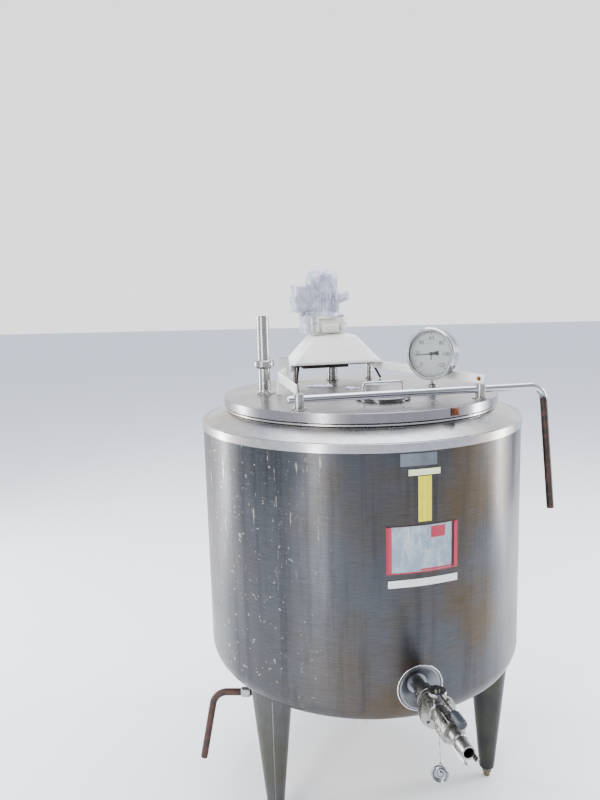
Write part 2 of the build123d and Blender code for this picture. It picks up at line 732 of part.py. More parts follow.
# ---------------------------------------------------------------- lid
with BuildPart() as lid_plate:
    revolve(outline(
        section(0.0),
        (0, lid_under_z), (0, lid_top_z), (lid_radius - 1, lid_top_z), (lid_radius, lid_top_z - 1),
        (lid_radius, lid_top_z - lid_skirt), (lid_radius - skirt_wall, lid_top_z - lid_skirt),
        (lid_radius - skirt_wall, lid_under_z)), axis=tank_axis)
    with BuildSketch(Plane.XY.offset(lid_top_z)):
        with Locations(hatch_centre):
            Circle(hatch_hole_radius + hatch_wall)
    extrude(amount=hatch_collar)
    for centre, radius in ((hatch_centre, hatch_hole_radius), (shaft_centre, housing_radius),
                           (fill_centre, pipe_radius), (thermo_centre, probe_radius + 4)):
        with BuildSketch(Plane.XY.offset(lid_under_z)):
            with Locations(centre):
                Circle(radius)
        extrude(amount=lid_thickness + hatch_collar, mode=Mode.SUBTRACT)

with BuildPart() as lid_seal:
    extrude(ring(Plane.XY.offset(vessel_top_z + body_gap), lid_radius - skirt_wall - 2, vessel_radius - 2),
            amount=lid_under_z - vessel_top_z - body_gap)

with BuildPart() as hatch_cover:
    hatch_low_z = lid_top_z + hatch_collar + body_gap
    hatch_top_z = hatch_low_z + hatch_plate
    hatch_inner = hatch_radius - hatch_wall
    revolve(outline(
        section(0.0, (*hatch_centre, 0)),
        (0, hatch_low_z), (hatch_inner, hatch_low_z), (hatch_inner, hatch_low_z - hatch_lip),
        (hatch_radius, hatch_low_z - hatch_lip), (hatch_radius, hatch_top_z - 2),
        (hatch_radius - 2, hatch_top_z), (0, hatch_top_z)), axis=Axis((*hatch_centre, 0), (0, 0, 1)))

with BuildPart() as hatch_handle:
    grip_plane = section(bar_angle, (*hatch_centre, hatch_top_z))
    half_width = hatch_handle_width / 2
    with BuildLine(grip_plane):
        FilletPolyline((-half_width, 0), (-half_width, hatch_handle_height),
                       (half_width, hatch_handle_height), (half_width, 0), radius=hatch_wire_bend)
    foot_place = grip_plane.from_local_coords((-half_width, 0, 0))
    with BuildSketch(Plane(origin=foot_place, z_dir=(0, 0, 1))):
        Circle(hatch_wire)
    sweep()

# ---------------------------------------------------------------- filling pipe
fill_axis = Axis((*fill_centre, 0), (0, 0, 1))
fill_section = section(0.0, (*fill_centre, 0))

with BuildPart() as fill_pipe:
    revolve(outline(
        fill_section,
        (pipe_bore, lid_top_z - fill_below_lid), (pipe_radius, lid_top_z - fill_below_lid),
        (pipe_radius, lid_top_z), (pipe_radius + 14, lid_top_z), (pipe_radius + 14, lid_top_z + 3),
        (pipe_radius + 2, lid_top_z + 6), (pipe_radius, lid_top_z + 12), (pipe_radius, fill_union_z - 14),
        (pipe_radius + 7, fill_union_z - 8), (pipe_radius + 7, fill_union_z), (pipe_bore, fill_union_z)),
        axis=fill_axis)

with BuildPart() as fill_stub:
    revolve(outline(
        fill_section,
        (pipe_bore, fill_union_z), (pipe_radius + 5, fill_union_z), (pipe_radius + 5, fill_union_z + 8),
        (pipe_radius, fill_union_z + 12), (pipe_radius, fill_top_z), (pipe_bore, fill_top_z)),
        axis=fill_axis)

with BuildPart() as fill_union:
    revolve(outline(
        fill_section,
        (pipe_radius + 7, fill_union_z - 8), (pipe_radius + 10, fill_union_z - 8),
        (pipe_radius + 14, fill_union_z - 4), (pipe_radius + 14, fill_union_z + 10),
        (pipe_radius + 11, fill_union_z + 14), (pipe_radius, fill_union_z + 14),
        (pipe_radius, fill_union_z + 12), (pipe_radius + 5, fill_union_z + 8),
        (pipe_radius + 5, fill_union_z), (pipe_radius + 7, fill_union_z)),
        axis=fill_axis)
    with BuildSketch(Plane(origin=(*fill_centre, fill_union_z - 8))):
        with PolarLocations(pipe_radius + 15.5, 6, start_angle=15):
            Circle(4.5)
    extrude(amount=24, mode=Mode.SUBTRACT)

# ---------------------------------------------------------------- lugs and swinging bar
with BuildPart() as bar_lugs:
    for along in (0.0, right_lug_at):
        lug_place = Plane(origin=on_bar(along, lid_top_z))
        extrude(ring(lug_place, lug_radius), amount=lug_top_z - lid_top_z)
        extrude(ring(lug_place, lug_foot[0]), amount=lug_foot[1])
    extrude(ring(across_bar(-2 * lug_radius), bar_radius + running_clearance),
            amount=right_lug_at + 4 * lug_radius, mode=Mode.SUBTRACT)

with BuildPart() as swing_bar:
    with BuildLine() as bar_path:
        FilletPolyline(on_bar(-bar_tail, bar_z), on_bar(bar_corner, bar_z),
                       on_bar(bar_corner + bar_lean, bar_z - bar_drop), radius=bar_bend)
    with BuildSketch(Plane(origin=bar_path.line @ 0, z_dir=bar_path.line % 0)):
        Circle(bar_radius)
        Circle(bar_radius - bar_wall, mode=Mode.SUBTRACT)
    sweep()
    extrude(ring(across_bar(-bar_tail), bar_radius), amount=bar_wall * 2)
    fillet(swing_bar.edges().group_by(Axis((0, 0, 0), (*bar_along, 0)))[0], bar_radius / 2)

# ---------------------------------------------------------------- motor stand
post_places = [at_shaft(lid_top_z, side * post_span / 2).origin for side in (-1, 1)]

with BuildPart() as motor_posts:
    for place in post_places:
        extrude(ring(Plane(origin=place), post_radius), amount=bridge_z - lid_top_z)
        extrude(ring(Plane(origin=place), post_foot[0]), amount=post_foot[1])

with BuildPart() as bridge_plate:
    with BuildSketch(at_shaft(bridge_z)):
        RectangleRounded(bridge_length, bridge_width, 6)
        Circle(housing_radius, mode=Mode.SUBTRACT)
    extrude(amount=bridge_thickness)
    with BuildSketch(at_shaft(bridge_z)):
        with Locations((motor_offset, 0)):
            Rectangle(drive_plate[0], bridge_width)
        Circle(housing_radius, mode=Mode.SUBTRACT)
    extrude(amount=-drive_plate[1])

with BuildPart() as shaft_housing:
    extrude(ring(at_shaft(lid_under_z - 12), housing_radius, shaft_radius + running_clearance),
            amount=hood_z - lid_under_z + 12)
    extrude(ring(at_shaft(lid_top_z), housing_foot[0], housing_radius), amount=housing_foot[1])

with BuildPart() as lantern:
    extrude(ring(at_shaft(hood_z), lantern_radius, lantern_radius - lantern_wall), amount=lantern_height)
    with BuildSketch(Plane(origin=at_shaft(hood_z + lantern_height / 2).origin, x_dir=(*bar_along, 0),
                           z_dir=(-bar_along[1], bar_along[0], 0))):
        RectangleRounded(*lantern_window, 10)
    extrude(amount=2 * lantern_radius, both=True, mode=Mode.SUBTRACT)


def hood_solid(inset, bottom_z):
    """The space inside the hood's folded sheet, smaller by an inset."""
    with BuildPart() as solid:
        with BuildSketch(at_shaft(bottom_z)):
            Rectangle(hood_bottom[0] - 2 * inset, hood_bottom[1] - 2 * inset)
        with BuildSketch(at_shaft(hood_z + hood_height - inset)):
            Rectangle(hood_top[0] - 2 * inset, hood_top[1] - 2 * inset)
        loft()
    return solid.part


with BuildPart() as hood:
    add(hood_solid(0.0, hood_z))
    add(hood_solid(hood_wall, hood_z - 0.01), mode=Mode.SUBTRACT)
    extrude(ring(at_shaft(hood_z + hood_height - 4), lantern_radius), amount=8, mode=Mode.SUBTRACT)


def arm(plan):
    """A flat bar on edge that follows a plan line, standing on the lugs' tops."""
    with BuildPart() as bar:
        with BuildSketch(Plane.XY.offset(lug_top_z)):
            with BuildLine():
                Polyline(*plan)
            trace(line_width=arm_thickness)
        extrude(amount=arm_height)
        add(bridge_plate.part, mode=Mode.SUBTRACT)
        add(motor_posts.part, mode=Mode.SUBTRACT)
    return bar.part


left_lug = on_bar(-6, 0)[:2]
right_lug = on_bar(right_lug_at + 8, 0)[:2]
left_post, right_post = [(place.X, place.Y) for place in post_places]
arm_along = (Vector(*right_lug) - Vector(*right_post)).normalized()
tab_centre = Vector(*right_lug) - arm_along * 13
tab_plane = Plane(origin=(tab_centre.X, tab_centre.Y, lug_top_z + arm_height * 0.55), x_dir=arm_along,
                  z_dir=(arm_along.Y, -arm_along.X, 0))

with BuildPart() as arm_right:
    add(arm([right_lug, right_post]))
    extrude(ring(tab_plane, arm_bolt_radius), amount=arm_thickness, both=True, mode=Mode.SUBTRACT)

with BuildPart() as arm_left:
    add(arm([left_lug, arm_knee, left_post]))
    extrude(ring(Plane(origin=(*arm_knee, lid_top_z)), knee_post_radius), amount=lug_top_z - lid_top_z)
    knee_to_post = (Vector(*left_post) - Vector(*arm_knee)).normalized()
    upright_centre = Vector(*arm_knee) + knee_to_post * upright_at
    with BuildSketch(Plane(origin=(upright_centre.X - arm_thickness, upright_centre.Y, lug_top_z))):
        Rectangle(upright_size[0], arm_thickness)
    extrude(amount=upright_size[1])

with BuildPart() as arm_bolts:
    head_radius, head_height = arm_bolt_head
    extrude(ring(tab_plane.offset(arm_thickness / 2), head_radius), amount=head_height)
    extrude(ring(tab_plane.offset(-arm_thickness / 2), arm_bolt_radius), amount=arm_thickness)
    extrude(ring(tab_plane.offset(-arm_thickness / 2), head_radius), amount=-head_height)

# ---------------------------------------------------------------- gearbox and motor
with BuildPart() as gearbox:
    with BuildSketch(at_shaft(gearbox_z, motor_offset)):
        RectangleRounded(gearbox_size[0], gearbox_size[1], 30)
    extrude(amount=gearbox_size[2], taper=3)
    extrude(ring(at_shaft(gearbox_z), shaft_radius + running_clearance), amount=gearbox_size[2] - 14,
            mode=Mode.SUBTRACT)

bolt_level = gearbox_z + 20
with BuildPart() as gearbox_bolts:
    front = Plane(origin=at_shaft(bolt_level, motor_offset / 2).origin, x_dir=(*bar_along, 0),
                  z_dir=(bar_along[1], -bar_along[0], 0))
    with BuildSketch(front.offset(gearbox_size[1] / 2 - 4)):
        with GridLocations(gearbox_bolt_gap, 0, 3, 1):
            RegularPolygon(gearbox_bolt_size, 6)
    extrude(amount=9)
    add(gearbox.part, mode=Mode.SUBTRACT)

box_seat = at_shaft(motor_z + motor_flange_thickness + motor_length / 2, motor_offset).origin
box_side = Plane(origin=box_seat, x_dir=(-bar_along[1], bar_along[0], 0),
                 z_dir=(-bar_along[0], -bar_along[1], 0))

cover_z = motor_z + motor_flange_thickness + motor_length
cover_inner = fan_cover_radius - fan_cover_wall

with BuildPart() as motor_body:
    extrude(ring(at_shaft(motor_z, motor_offset), motor_flange_radius), amount=motor_flange_thickness)
    extrude(ring(at_shaft(motor_z, motor_offset), motor_radius),
            amount=motor_flange_thickness + motor_length)
    with BuildSketch(at_shaft(motor_z + motor_flange_thickness, motor_offset)):
        with PolarLocations(motor_radius + fin_height / 2, fin_count, start_angle=180 / fin_count):
            Rectangle(fin_height + 2, fin_thickness)
    extrude(amount=motor_length - end_ring_height)
    extrude(ring(at_shaft(cover_z - end_ring_height, motor_offset), cover_inner), amount=2 * end_ring_height)
    with BuildSketch(box_side.offset(motor_radius - 6)):
        Rectangle(terminal_box_size[1] - 10, terminal_box_size[2] - 10)
    extrude(amount=14)

with BuildPart() as fan_cover:
    revolve(outline(
        section(bar_angle, at_shaft(0, motor_offset).origin),
        (cover_inner, cover_z), (fan_cover_radius, cover_z), (fan_cover_radius, motor_top_z - 20),
        (fan_cover_radius - 8, motor_top_z - 6), (fan_cover_radius - 26, motor_top_z), (0, motor_top_z),
        (0, motor_top_z - fan_cover_wall), (cover_inner - 26, motor_top_z - fan_cover_wall),
        (cover_inner - 8, motor_top_z - fan_cover_wall - 6), (cover_inner, motor_top_z - 20)),
        axis=Axis(at_shaft(0, motor_offset).origin, (0, 0, 1)))

with BuildPart() as terminal_box:
    box_depth, box_width, box_height = terminal_box_size
    with BuildSketch(box_side.offset(motor_radius + 8)):
        RectangleRounded(box_width, box_height, 8)
    extrude(amount=box_depth - terminal_lid_depth)
    with BuildSketch(box_side.offset(motor_radius + 8 + box_depth - terminal_lid_depth)):
        RectangleRounded(box_width + 4, box_height + 4, 9)
    extrude(amount=terminal_lid_depth, taper=8)


def wrap_solid(grow, low_z, high_z):
    """The space round the motor and its terminal box, grown outwards."""
    with BuildPart() as solid:
        with BuildSketch(at_shaft(low_z, motor_offset)):
            Circle(motor_flange_radius + grow)
            with Locations((-(motor_radius + box_depth) / 2, 0)):
                Rectangle(motor_radius + box_depth + 24 + 2 * grow, box_width + 10 + 2 * grow)
        extrude(amount=high_z - low_z)
    return solid.part


with BuildPart() as motor_wrap:
    wrap_low_z = motor_z + 1
    wrap_high_z = motor_top_z + wrap_gap
    add(wrap_solid(wrap_gap + wrap_wall, wrap_low_z, wrap_high_z + wrap_wall))
    add(wrap_solid(wrap_gap, wrap_low_z, wrap_high_z), mode=Mode.SUBTRACT)

# ---------------------------------------------------------------- agitator
with BuildPart() as agitator_shaft:
    extrude(ring(at_shaft(shaft_bottom_z), shaft_radius), amount=motor_z - 16 - shaft_bottom_z)
    chamfer(agitator_shaft.edges().filter_by(GeomType.CIRCLE), 1.5)

with BuildPart() as impeller:
    hub_z = shaft_bottom_z + 12
    extrude(ring(at_shaft(hub_z), impeller_hub_radius, shaft_radius), amount=impeller_hub_height)
    for turn in range(blade_count):
        spoke = turned(at_shaft(hub_z + impeller_hub_height / 2), 360 / blade_count * turn)
        root = Plane(origin=spoke.origin + spoke.x_dir * (impeller_hub_radius - 3), x_dir=spoke.y_dir,
                     z_dir=spoke.x_dir)
        with BuildSketch(turned(root, blade_pitch)):
            RectangleRounded(blade_width, blade_thickness, 2)
        extrude(amount=impeller_radius - impeller_hub_radius + 3)
    extrude(ring(at_shaft(hub_z), shaft_radius), amount=impeller_hub_height, mode=Mode.SUBTRACT)

# ---------------------------------------------------------------- thermometer
dial_centre = (*thermo_centre, dial_z)
dial_out = around(thermo_azimuth, 1.0)
dial_axis = Axis(dial_centre, dial_out)
dial_section = section(thermo_azimuth, dial_centre)
dial_face = facing(thermo_azimuth, dial_centre)
stem_top_z = dial_z - case_radius + case_wall / 2   # half way into the case's wall

with BuildPart() as thermo_well:
    thermo_axis = Axis((*thermo_centre, 0), (0, 0, 1))
    thermo_section = section(0.0, (*thermo_centre, 0))
    revolve(outline(
        thermo_section,
        (0, lid_under_z - probe_length), (probe_radius - 2, lid_under_z - probe_length),
        (probe_radius, lid_under_z - probe_length + 2), (probe_radius, lid_under_z - 14),
        (probe_radius + 4, lid_under_z - 14), (probe_radius + 4, lid_top_z), (probe_radius + 12, lid_top_z),
        (probe_radius + 12, lid_top_z + 5), (probe_radius + 5, lid_top_z + 7),
        (probe_radius + 5, lid_top_z + 14), (probe_radius + 9, lid_top_z + 16),
        (probe_radius + 9, lid_top_z + 26), (probe_radius, lid_top_z + 29),
        (probe_radius, stem_top_z), (0, stem_top_z)), axis=thermo_axis)

with BuildPart() as thermo_case:
    revolve(outline(
        dial_section,
        (case_back, 0), (case_back, case_radius - 6), (case_back + 6, case_radius),
        (case_front, case_radius), (case_front, case_radius - case_wall),
        (case_back + 8, case_radius - case_wall),
        (case_back + case_wall, case_radius - 8), (case_back + case_wall, 0)), axis=dial_axis)
    extrude(ring(Plane(origin=(*thermo_centre, lid_top_z)), probe_radius), amount=stem_top_z - lid_top_z,
            mode=Mode.SUBTRACT)

with BuildPart() as thermo_dial:
    extrude(ring(dial_face.offset(dial_at - dial_thickness), case_radius - case_wall,
                 pointer_spindle + running_clearance), amount=dial_thickness)

with BuildPart() as thermo_pointer:
    extrude(ring(dial_face.offset(dial_at - 6), pointer_spindle), amount=9)
    with BuildSketch(turned(dial_face.offset(dial_at + 1), pointer_angle)):
        with BuildLine():
            tail, tail_half = pointer_tail
            Polyline((-tail, -tail_half), (-tail, tail_half), (0, 2), (pointer_tip, 0.8),
                     (pointer_tip, -0.8), (0, -2), close=True)
        make_face()
        Circle(6)
    extrude(amount=1.2)

with BuildPart() as thermo_glass:
    extrude(ring(dial_face.offset(dial_at + glass_gap), case_radius - case_wall), amount=glass_thickness)

with BuildPart() as thermo_bezel:
    revolve(outline(
        dial_section,
        (case_front - 10, case_radius), (case_front - 10, bezel_radius - 2), (case_front - 4, bezel_radius),
        (case_front + 1, bezel_radius), (case_front + 4, bezel_radius - 3),
        (case_front + 3, case_radius - 6), (case_front, case_radius - 6), (case_front, case_radius)),
        axis=dial_axis)

# ---------------------------------------------------------------- write the pieces
pieces = {
    "inner_vessel": inner_vessel,
    "jacket_wall": jacket,
    "insulation": insulation,
    "outer_shell": outer_shell,
    "shoulder_cone": shoulder_cone,
    "neck_ring": neck_ring,
    "leg_right": legs["right"],
    "leg_left": legs["left"],
    "leg_rear": legs["rear"],
    "feet": feet,
    "outlet_dish": outlet_dish,
    "outlet_neck": outlet_neck,
    "valve_inlet_half": valve_inlet_half,
    "valve_outlet_half": valve_outlet_half,
    "valve_seat": valve_seat,
    "valve_bolts": valve_bolts,
    "valve_disc": valve_disc,
    "valve_lever": valve_lever,
    "lever_grip": lever_grip,
    "union_nut": union_nut,
    "outlet_spigot": outlet_spigot,
    "cap_cord": cap_cord,
    "blank_cap": blank_cap,
    "drain_pipe": drain_pipe,
    "drain_socket": drain_socket,
    "jacket_stub": jacket_stub,
    "holder_backing": holder_backing,
    "holder_pocket": holder_pocket,
    "lid_plate": lid_plate,
    "lid_seal": lid_seal,
    "hatch_cover": hatch_cover,
    "hatch_handle": hatch_handle,
    "fill_pipe": fill_pipe,
    "fill_union": fill_union,
    "fill_stub": fill_stub,
    "bar_lugs": bar_lugs,
    "swing_bar": swing_bar,
    "arm_left": arm_left,
    "arm_right": arm_right,
    "arm_bolts": arm_bolts,
    "motor_posts": motor_posts,
    "bridge_plate": bridge_plate,
    "shaft_housing": shaft_housing,
    "lantern": lantern,
    "hood": hood,
    "gearbox": gearbox,
    "gearbox_bolts": gearbox_bolts,
    "motor_body": motor_body,
    "fan_cover": fan_cover,
    "terminal_box": terminal_box,
    "motor_wrap": motor_wrap,
    "agitator_shaft": agitator_shaft,
    "impeller": impeller,
    "thermo_well": thermo_well,
    "thermo_case": thermo_case,
    "thermo_dial": thermo_dial,
    "thermo_pointer": thermo_pointer,
    "thermo_glass": thermo_glass,
    "thermo_bezel": thermo_bezel,
}

os.makedirs("parts", exist_ok=True)
for name, piece in pieces.items():
    piece.part.label = name
    export_step(piece.part, f"parts/{name}.step")
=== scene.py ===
"""Bulk milk tank: finishes and fine detail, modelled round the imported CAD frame."""
import json
import math

import bmesh
import bpy
from mathutils import Matrix, Vector, noise
from mathutils.bvhtree import BVHTree


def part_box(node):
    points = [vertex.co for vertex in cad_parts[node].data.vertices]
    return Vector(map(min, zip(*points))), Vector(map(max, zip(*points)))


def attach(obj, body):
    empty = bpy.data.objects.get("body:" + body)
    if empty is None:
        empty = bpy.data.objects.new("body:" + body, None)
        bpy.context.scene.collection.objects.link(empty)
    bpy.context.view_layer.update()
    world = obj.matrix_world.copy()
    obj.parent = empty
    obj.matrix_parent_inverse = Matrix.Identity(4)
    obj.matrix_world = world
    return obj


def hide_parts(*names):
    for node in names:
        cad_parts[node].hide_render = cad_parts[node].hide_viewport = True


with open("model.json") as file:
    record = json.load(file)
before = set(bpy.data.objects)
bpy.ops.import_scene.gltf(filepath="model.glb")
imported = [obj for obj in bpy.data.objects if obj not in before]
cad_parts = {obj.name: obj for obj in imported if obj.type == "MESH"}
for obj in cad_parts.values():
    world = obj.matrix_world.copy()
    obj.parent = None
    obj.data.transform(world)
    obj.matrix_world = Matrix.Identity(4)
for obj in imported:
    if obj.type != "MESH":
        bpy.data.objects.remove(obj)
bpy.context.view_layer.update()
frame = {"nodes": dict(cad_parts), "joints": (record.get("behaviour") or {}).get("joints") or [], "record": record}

bl_info = {
    "name": "Bulk milk tank",
    "version": (1, 0, 0),
    "blender": (4, 5, 0),
    "location": "View3D > Sidebar > Tank",
    "description": "Finishes and fine detail for a jacketed milk tank",
    "category": "Object",
}

MM = 0.001
UP = Vector((0, 0, 1))


# ------------------------------------------------------------------ places, from the frame
def middle(node):
    """The centre of a CAD node's box."""
    low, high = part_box(node)
    return (low + high) / 2


def reach(node, direction):
    """How far a CAD node goes along a direction, from the origin."""
    return max(vert.co.dot(direction) for vert in frame["nodes"][node].data.vertices)


def polar(azimuth, radius, height=0.0):
    """A point at an azimuth in degrees and a radius about the tank's axis."""
    turn = math.radians(azimuth)
    return Vector((radius * math.cos(turn), radius * math.sin(turn), height))


JOINTS = {joint["name"]: joint for joint in frame["joints"]}
MOUNTS = {mount["name"]: mount for mount in frame["record"]["mounts"]}
SHELL_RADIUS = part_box("outer_shell")[1].x
SHELL_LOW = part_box("outer_shell")[0].z
LID_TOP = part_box("fill_union")[0].z - 85 * MM
LID_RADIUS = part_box("lid_plate")[1].x
BAR_ALONG = -Vector(JOINTS["bar_swing"]["axis"])
BAR_SIDE = UP.cross(BAR_ALONG)
SHAFT = Vector(JOINTS["agitator_spin"]["pos_m"])
SPINDLE = Vector(JOINTS["valve_lever_turn"]["pos_m"])
OUTLET = Vector(MOUNTS["outlet_mouth"]["axis"])
OUTLET_SIDE = UP.cross(OUTLET)
DIAL = Vector(JOINTS["pointer_turn"]["pos_m"])
DIAL_OUT = Vector(JOINTS["pointer_turn"]["axis"])
DIAL_RIGHT = UP.cross(DIAL_OUT)
MOTOR = middle("fan_cover")
LEG_AZIMUTHS = {"leg_right": -11.0, "leg_left": -131.0, "leg_rear": 109.0}


def along_outlet(distance, side=0.0, height=None):
    """A point by its distance along the outlet, its place to the side and its height, in millimetres."""
    level = SPINDLE.z if height is None else height * MM
    return OUTLET * distance * MM + OUTLET_SIDE * side * MM + UP * level


# ------------------------------------------------------------------ sizes and colours a user would change
def linear(hex_colour):
    """An sRGB hex colour as linear red, green, blue and alpha."""
    parts = [int(hex_colour[i:i + 2], 16) / 255 for i in (1, 3, 5)]
    return (*[c / 12.92 if c <= 0.04045 else ((c + 0.055) / 1.055) ** 2.4 for c in parts], 1.0)


def colour(label, hex_colour):
    """A colour property with a hex default."""
    return bpy.props.FloatVectorProperty(
        name=label, description=label, subtype="COLOR", size=4, min=0, max=1, default=linear(hex_colour))


def length(label, words, default):
    """A length property."""
    return bpy.props.FloatProperty(name=label, description=words, default=default, unit="LENGTH")


class TankFinish(bpy.types.PropertyGroup):
    """Colours of the tank's main finishes."""
    # painted shade: the shell's steel is set far darker than bare steel, standing in for the dark surroundings that
    # its sides reflect
    shell: colour("Brushed shell steel", "#4a4c50")
    shell_brown: colour("Brown bloom on the shell", "#53493c")
    lid: colour("Lid steel", "#8f8d90")
    shoulder: colour("Shoulder steel", "#a9abb0")
    fitting: colour("Turned fitting steel", "#908f8c")
    # painted shade: the leg steel is set darker than bare steel, like the shell's
    leg: colour("Leg steel", "#54565a")
    paint: colour("White stand paint", "#f4f4f1")
    gear_paint: colour("Gearbox paint", "#d9d7cf")
    motor: colour("Motor paint", "#6f8ab5")
    tape: colour("Tape", "#d9cf06")
    label: colour("Small label", "#dfe9bd")
    strip: colour("Blank strip", "#dfe3e6")
    pocket: colour("Document pocket", "#7d8e9e")
    backing: colour("Pocket backing", "#a3243c")
    film: colour("Stretch film", "#dfe2ee")


class TankSizes(bpy.types.PropertyGroup):
    """Sizes of the pieces added round the frame."""
    label_width: length("Label width", "Width of the small label", 0.088)
    label_height: length("Label height", "Height of the small label", 0.016)
    tape_width: length("Tape width", "Width of the upright tape", 0.037)
    tape_height: length("Tape height", "Height of the upright tape", 0.120)
    strip_width: length("Strip width", "Width of the blank strip", 0.196)
    strip_height: length("Strip height", "Height of the blank strip", 0.020)
    film_gap: length("Film gap", "How far the film stands off what it wraps", 0.0035)
    film_crumple: length("Film crumple", "Depth of the creases in the stretch film", 0.006)
    weld_width: length("Weld width", "Width of the weld beads", 0.0045)


# ------------------------------------------------------------------ materials
def add(tree, kind, inputs=(), stops=(), **settings):
    """Adds a node. Settings go on the node, and inputs on its sockets, as values or as other sockets."""
    made = tree.nodes.new(kind)
    for name, value in settings.items():
        setattr(made, name, value)
    if stops:
        ramp = made.color_ramp.elements
        ramp[0].position, ramp[0].color = stops[0]
        ramp[1].position, ramp[1].color = stops[-1]
        for position, value in stops[1:-1]:
            ramp.new(position).color = value
    for socket, value in dict(inputs).items():
        if isinstance(value, bpy.types.NodeSocket):
            tree.links.new(value, made.inputs[socket])
        else:
            made.inputs[socket].default_value = value
    return made


def fresh(name):
    """An empty node material, its tree, and the object coordinates that its patterns read."""
    material = bpy.data.materials.new(name)
    material.use_nodes = True
    tree = material.node_tree
    tree.nodes.clear()
    return material, tree, add(tree, "ShaderNodeTexCoord").outputs["Object"]


def close(tree, **inputs):
    """Joins a principled shader with these inputs to the material's output."""
    sockets = {name.replace("_", " "): value for name, value in inputs.items()}
    shader = add(tree, "ShaderNodeBsdfPrincipled", sockets)
    add(tree, "ShaderNodeOutputMaterial", {"Surface": shader.outputs[0]})


BLACK, WHITE = (0, 0, 0, 1), (1, 1, 1, 1)


def grain(tree, where, scale, stretch=(1, 1, 1), detail=5.0, roughness=0.6):
    """A noise pattern's value, stretched along the axes."""
    mapped = add(tree, "ShaderNodeMapping", {"Vector": where, "Scale": stretch})
    return add(tree, "ShaderNodeTexNoise", {"Vector": mapped.outputs[0], "Scale": scale, "Detail": detail,
                                             "Roughness": roughness}).outputs[0]


def spread(tree, value, low, high, to_low=0.0, to_high=1.0):
    """A value mapped from one range to another, and held inside it."""
    return add(tree, "ShaderNodeMapRange", {"Value": value, "From Min": low, "From Max": high,
                                             "To Min": to_low, "To Max": to_high}).outputs[0]


def mixed(tree, amount, first, second, blend="MIX"):
    """Two colours mixed by an amount."""
    return add(tree, "ShaderNodeMix", {0: amount, 6: first, 7: second}, data_type="RGBA",
               blend_type=blend).outputs[2]


def times(tree, first, second):
    """Two values multiplied."""
    return add(tree, "ShaderNodeMath", {0: first, 1: second}, operation="MULTIPLY").outputs[0]


def raised(tree, height, strength, distance):
    """A bump from a height."""
    return add(tree, "ShaderNodeBump", {"Height": height, "Strength": strength, "Distance": distance}).outputs[0]


def shell_steel(look):
    """304 sheet, brushed round the tank, then weathered outdoors for years; its base colour is set darker than bare
    steel, as painted shade.

    The brushing draws reflections out into upright bands. Brown bloom, runs of dirt and drips of white
    paint dull them, and wide shallow dents bend them.
    """
    material, tree, where = fresh("brushed and weathered shell steel")
    # brush lines a few tenths of a millimetre apart, drawn about 2 mm apart so that they show
    scratch = grain(tree, where, 22.0, (1, 1, 22), 4.0, 0.7)
    bloom = spread(tree, grain(tree, where, 3.2, detail=7.0), 0.42, 0.62)
    runs = spread(tree, grain(tree, where, 26.0, (1, 1, 0.05), 6.0, 0.7), 0.48, 0.66)
    place = add(tree, "ShaderNodeSeparateXYZ", {0: where})
    leftward = spread(tree, place.outputs["X"], -0.05, -0.36)
    rightward = spread(tree, place.outputs["X"], -0.2, 0.2)
    brown = times(tree, bloom, spread(tree, rightward, 0, 1, 0.35, 1.0))
    # painted shade: look.shell is darker than bare steel, standing in for dark reflections on the shell's sides; the
    # brown bloom mixed in is real staining
    base = mixed(tree, brown, look.shell, look.shell_brown)
    base = mixed(tree, times(tree, runs, 0.45), base, linear("#2e2f33"))
    lines = spread(tree, scratch, 0.3, 0.7, 0.8, 1.18)
    base = mixed(tree, 1.0, base, lines, "MULTIPLY")
    # drips and specks of paint, 2 to 8 mm across, mostly on the upper left
    specks = spread(tree, grain(tree, where, 70.0, detail=5.0, roughness=0.75), 0.635, 0.66)
    drips = spread(tree, grain(tree, where, 60.0, (1, 1, 0.12), 4.0, 0.7), 0.63, 0.67)
    upper = spread(tree, place.outputs["Z"], 0.75, 1.15)
    paint = add(tree, "ShaderNodeMath", {0: times(tree, specks, leftward), 1: times(
        tree, times(tree, drips, leftward), upper)}, operation="MAXIMUM").outputs[0]
    base = mixed(tree, paint, base, linear("#c9c5b4"))
    metallic = spread(tree, paint, 0, 1, 1.0, 0.1)
    gloss = spread(tree, bloom, 0, 1, 0.3, 0.42)
    tangent = add(tree, "ShaderNodeTangent", direction_type="RADIAL", axis="Z").outputs[0]
    dents = raised(tree, grain(tree, where, 5.0, (1, 1, 0.7), 1.0), 0.6, 0.012)
    fine = add(tree, "ShaderNodeBump", {"Height": scratch, "Strength": 0.2, "Distance": 0.0004,
                                         "Normal": dents}).outputs[0]
    close(tree, Base_Color=base, Metallic=metallic, Roughness=gloss, Anisotropic=0.65,
          Anisotropic_Rotation=0.25, Tangent=tangent, Normal=fine)
    return material


def sheet_steel(name, base, stain, roughness, stretch=(1, 1, 1), stained=0.5, dents=0.004):
    """304 sheet with a fine mill finish: satin, cloudy with dried milk and water, a little uneven."""
    material, tree, where = fresh(name)
    clouds = spread(tree, grain(tree, where, 4.5, detail=8.0, roughness=0.65), 0.4, 0.68)
    # rolling lines, drawn about 3 mm apart so that they show
    scratch = grain(tree, where, 40.0, stretch, 4.0, 0.7)
    tint = mixed(tree, times(tree, clouds, stained), base, stain)
    tint = mixed(tree, 1.0, tint, spread(tree, scratch, 0.3, 0.7, 0.88, 1.1), "MULTIPLY")
    gloss = spread(tree, clouds, 0, 1, roughness, roughness + 0.14)
    wide = raised(tree, grain(tree, where, 6.0, detail=1.0), 0.4, dents)
    fine = add(tree, "ShaderNodeBump", {"Height": scratch, "Strength": 0.15, "Distance": 0.0003,
                                         "Normal": wide}).outputs[0]
    close(tree, Base_Color=tint, Metallic=1.0, Roughness=gloss, Normal=fine)
    return material


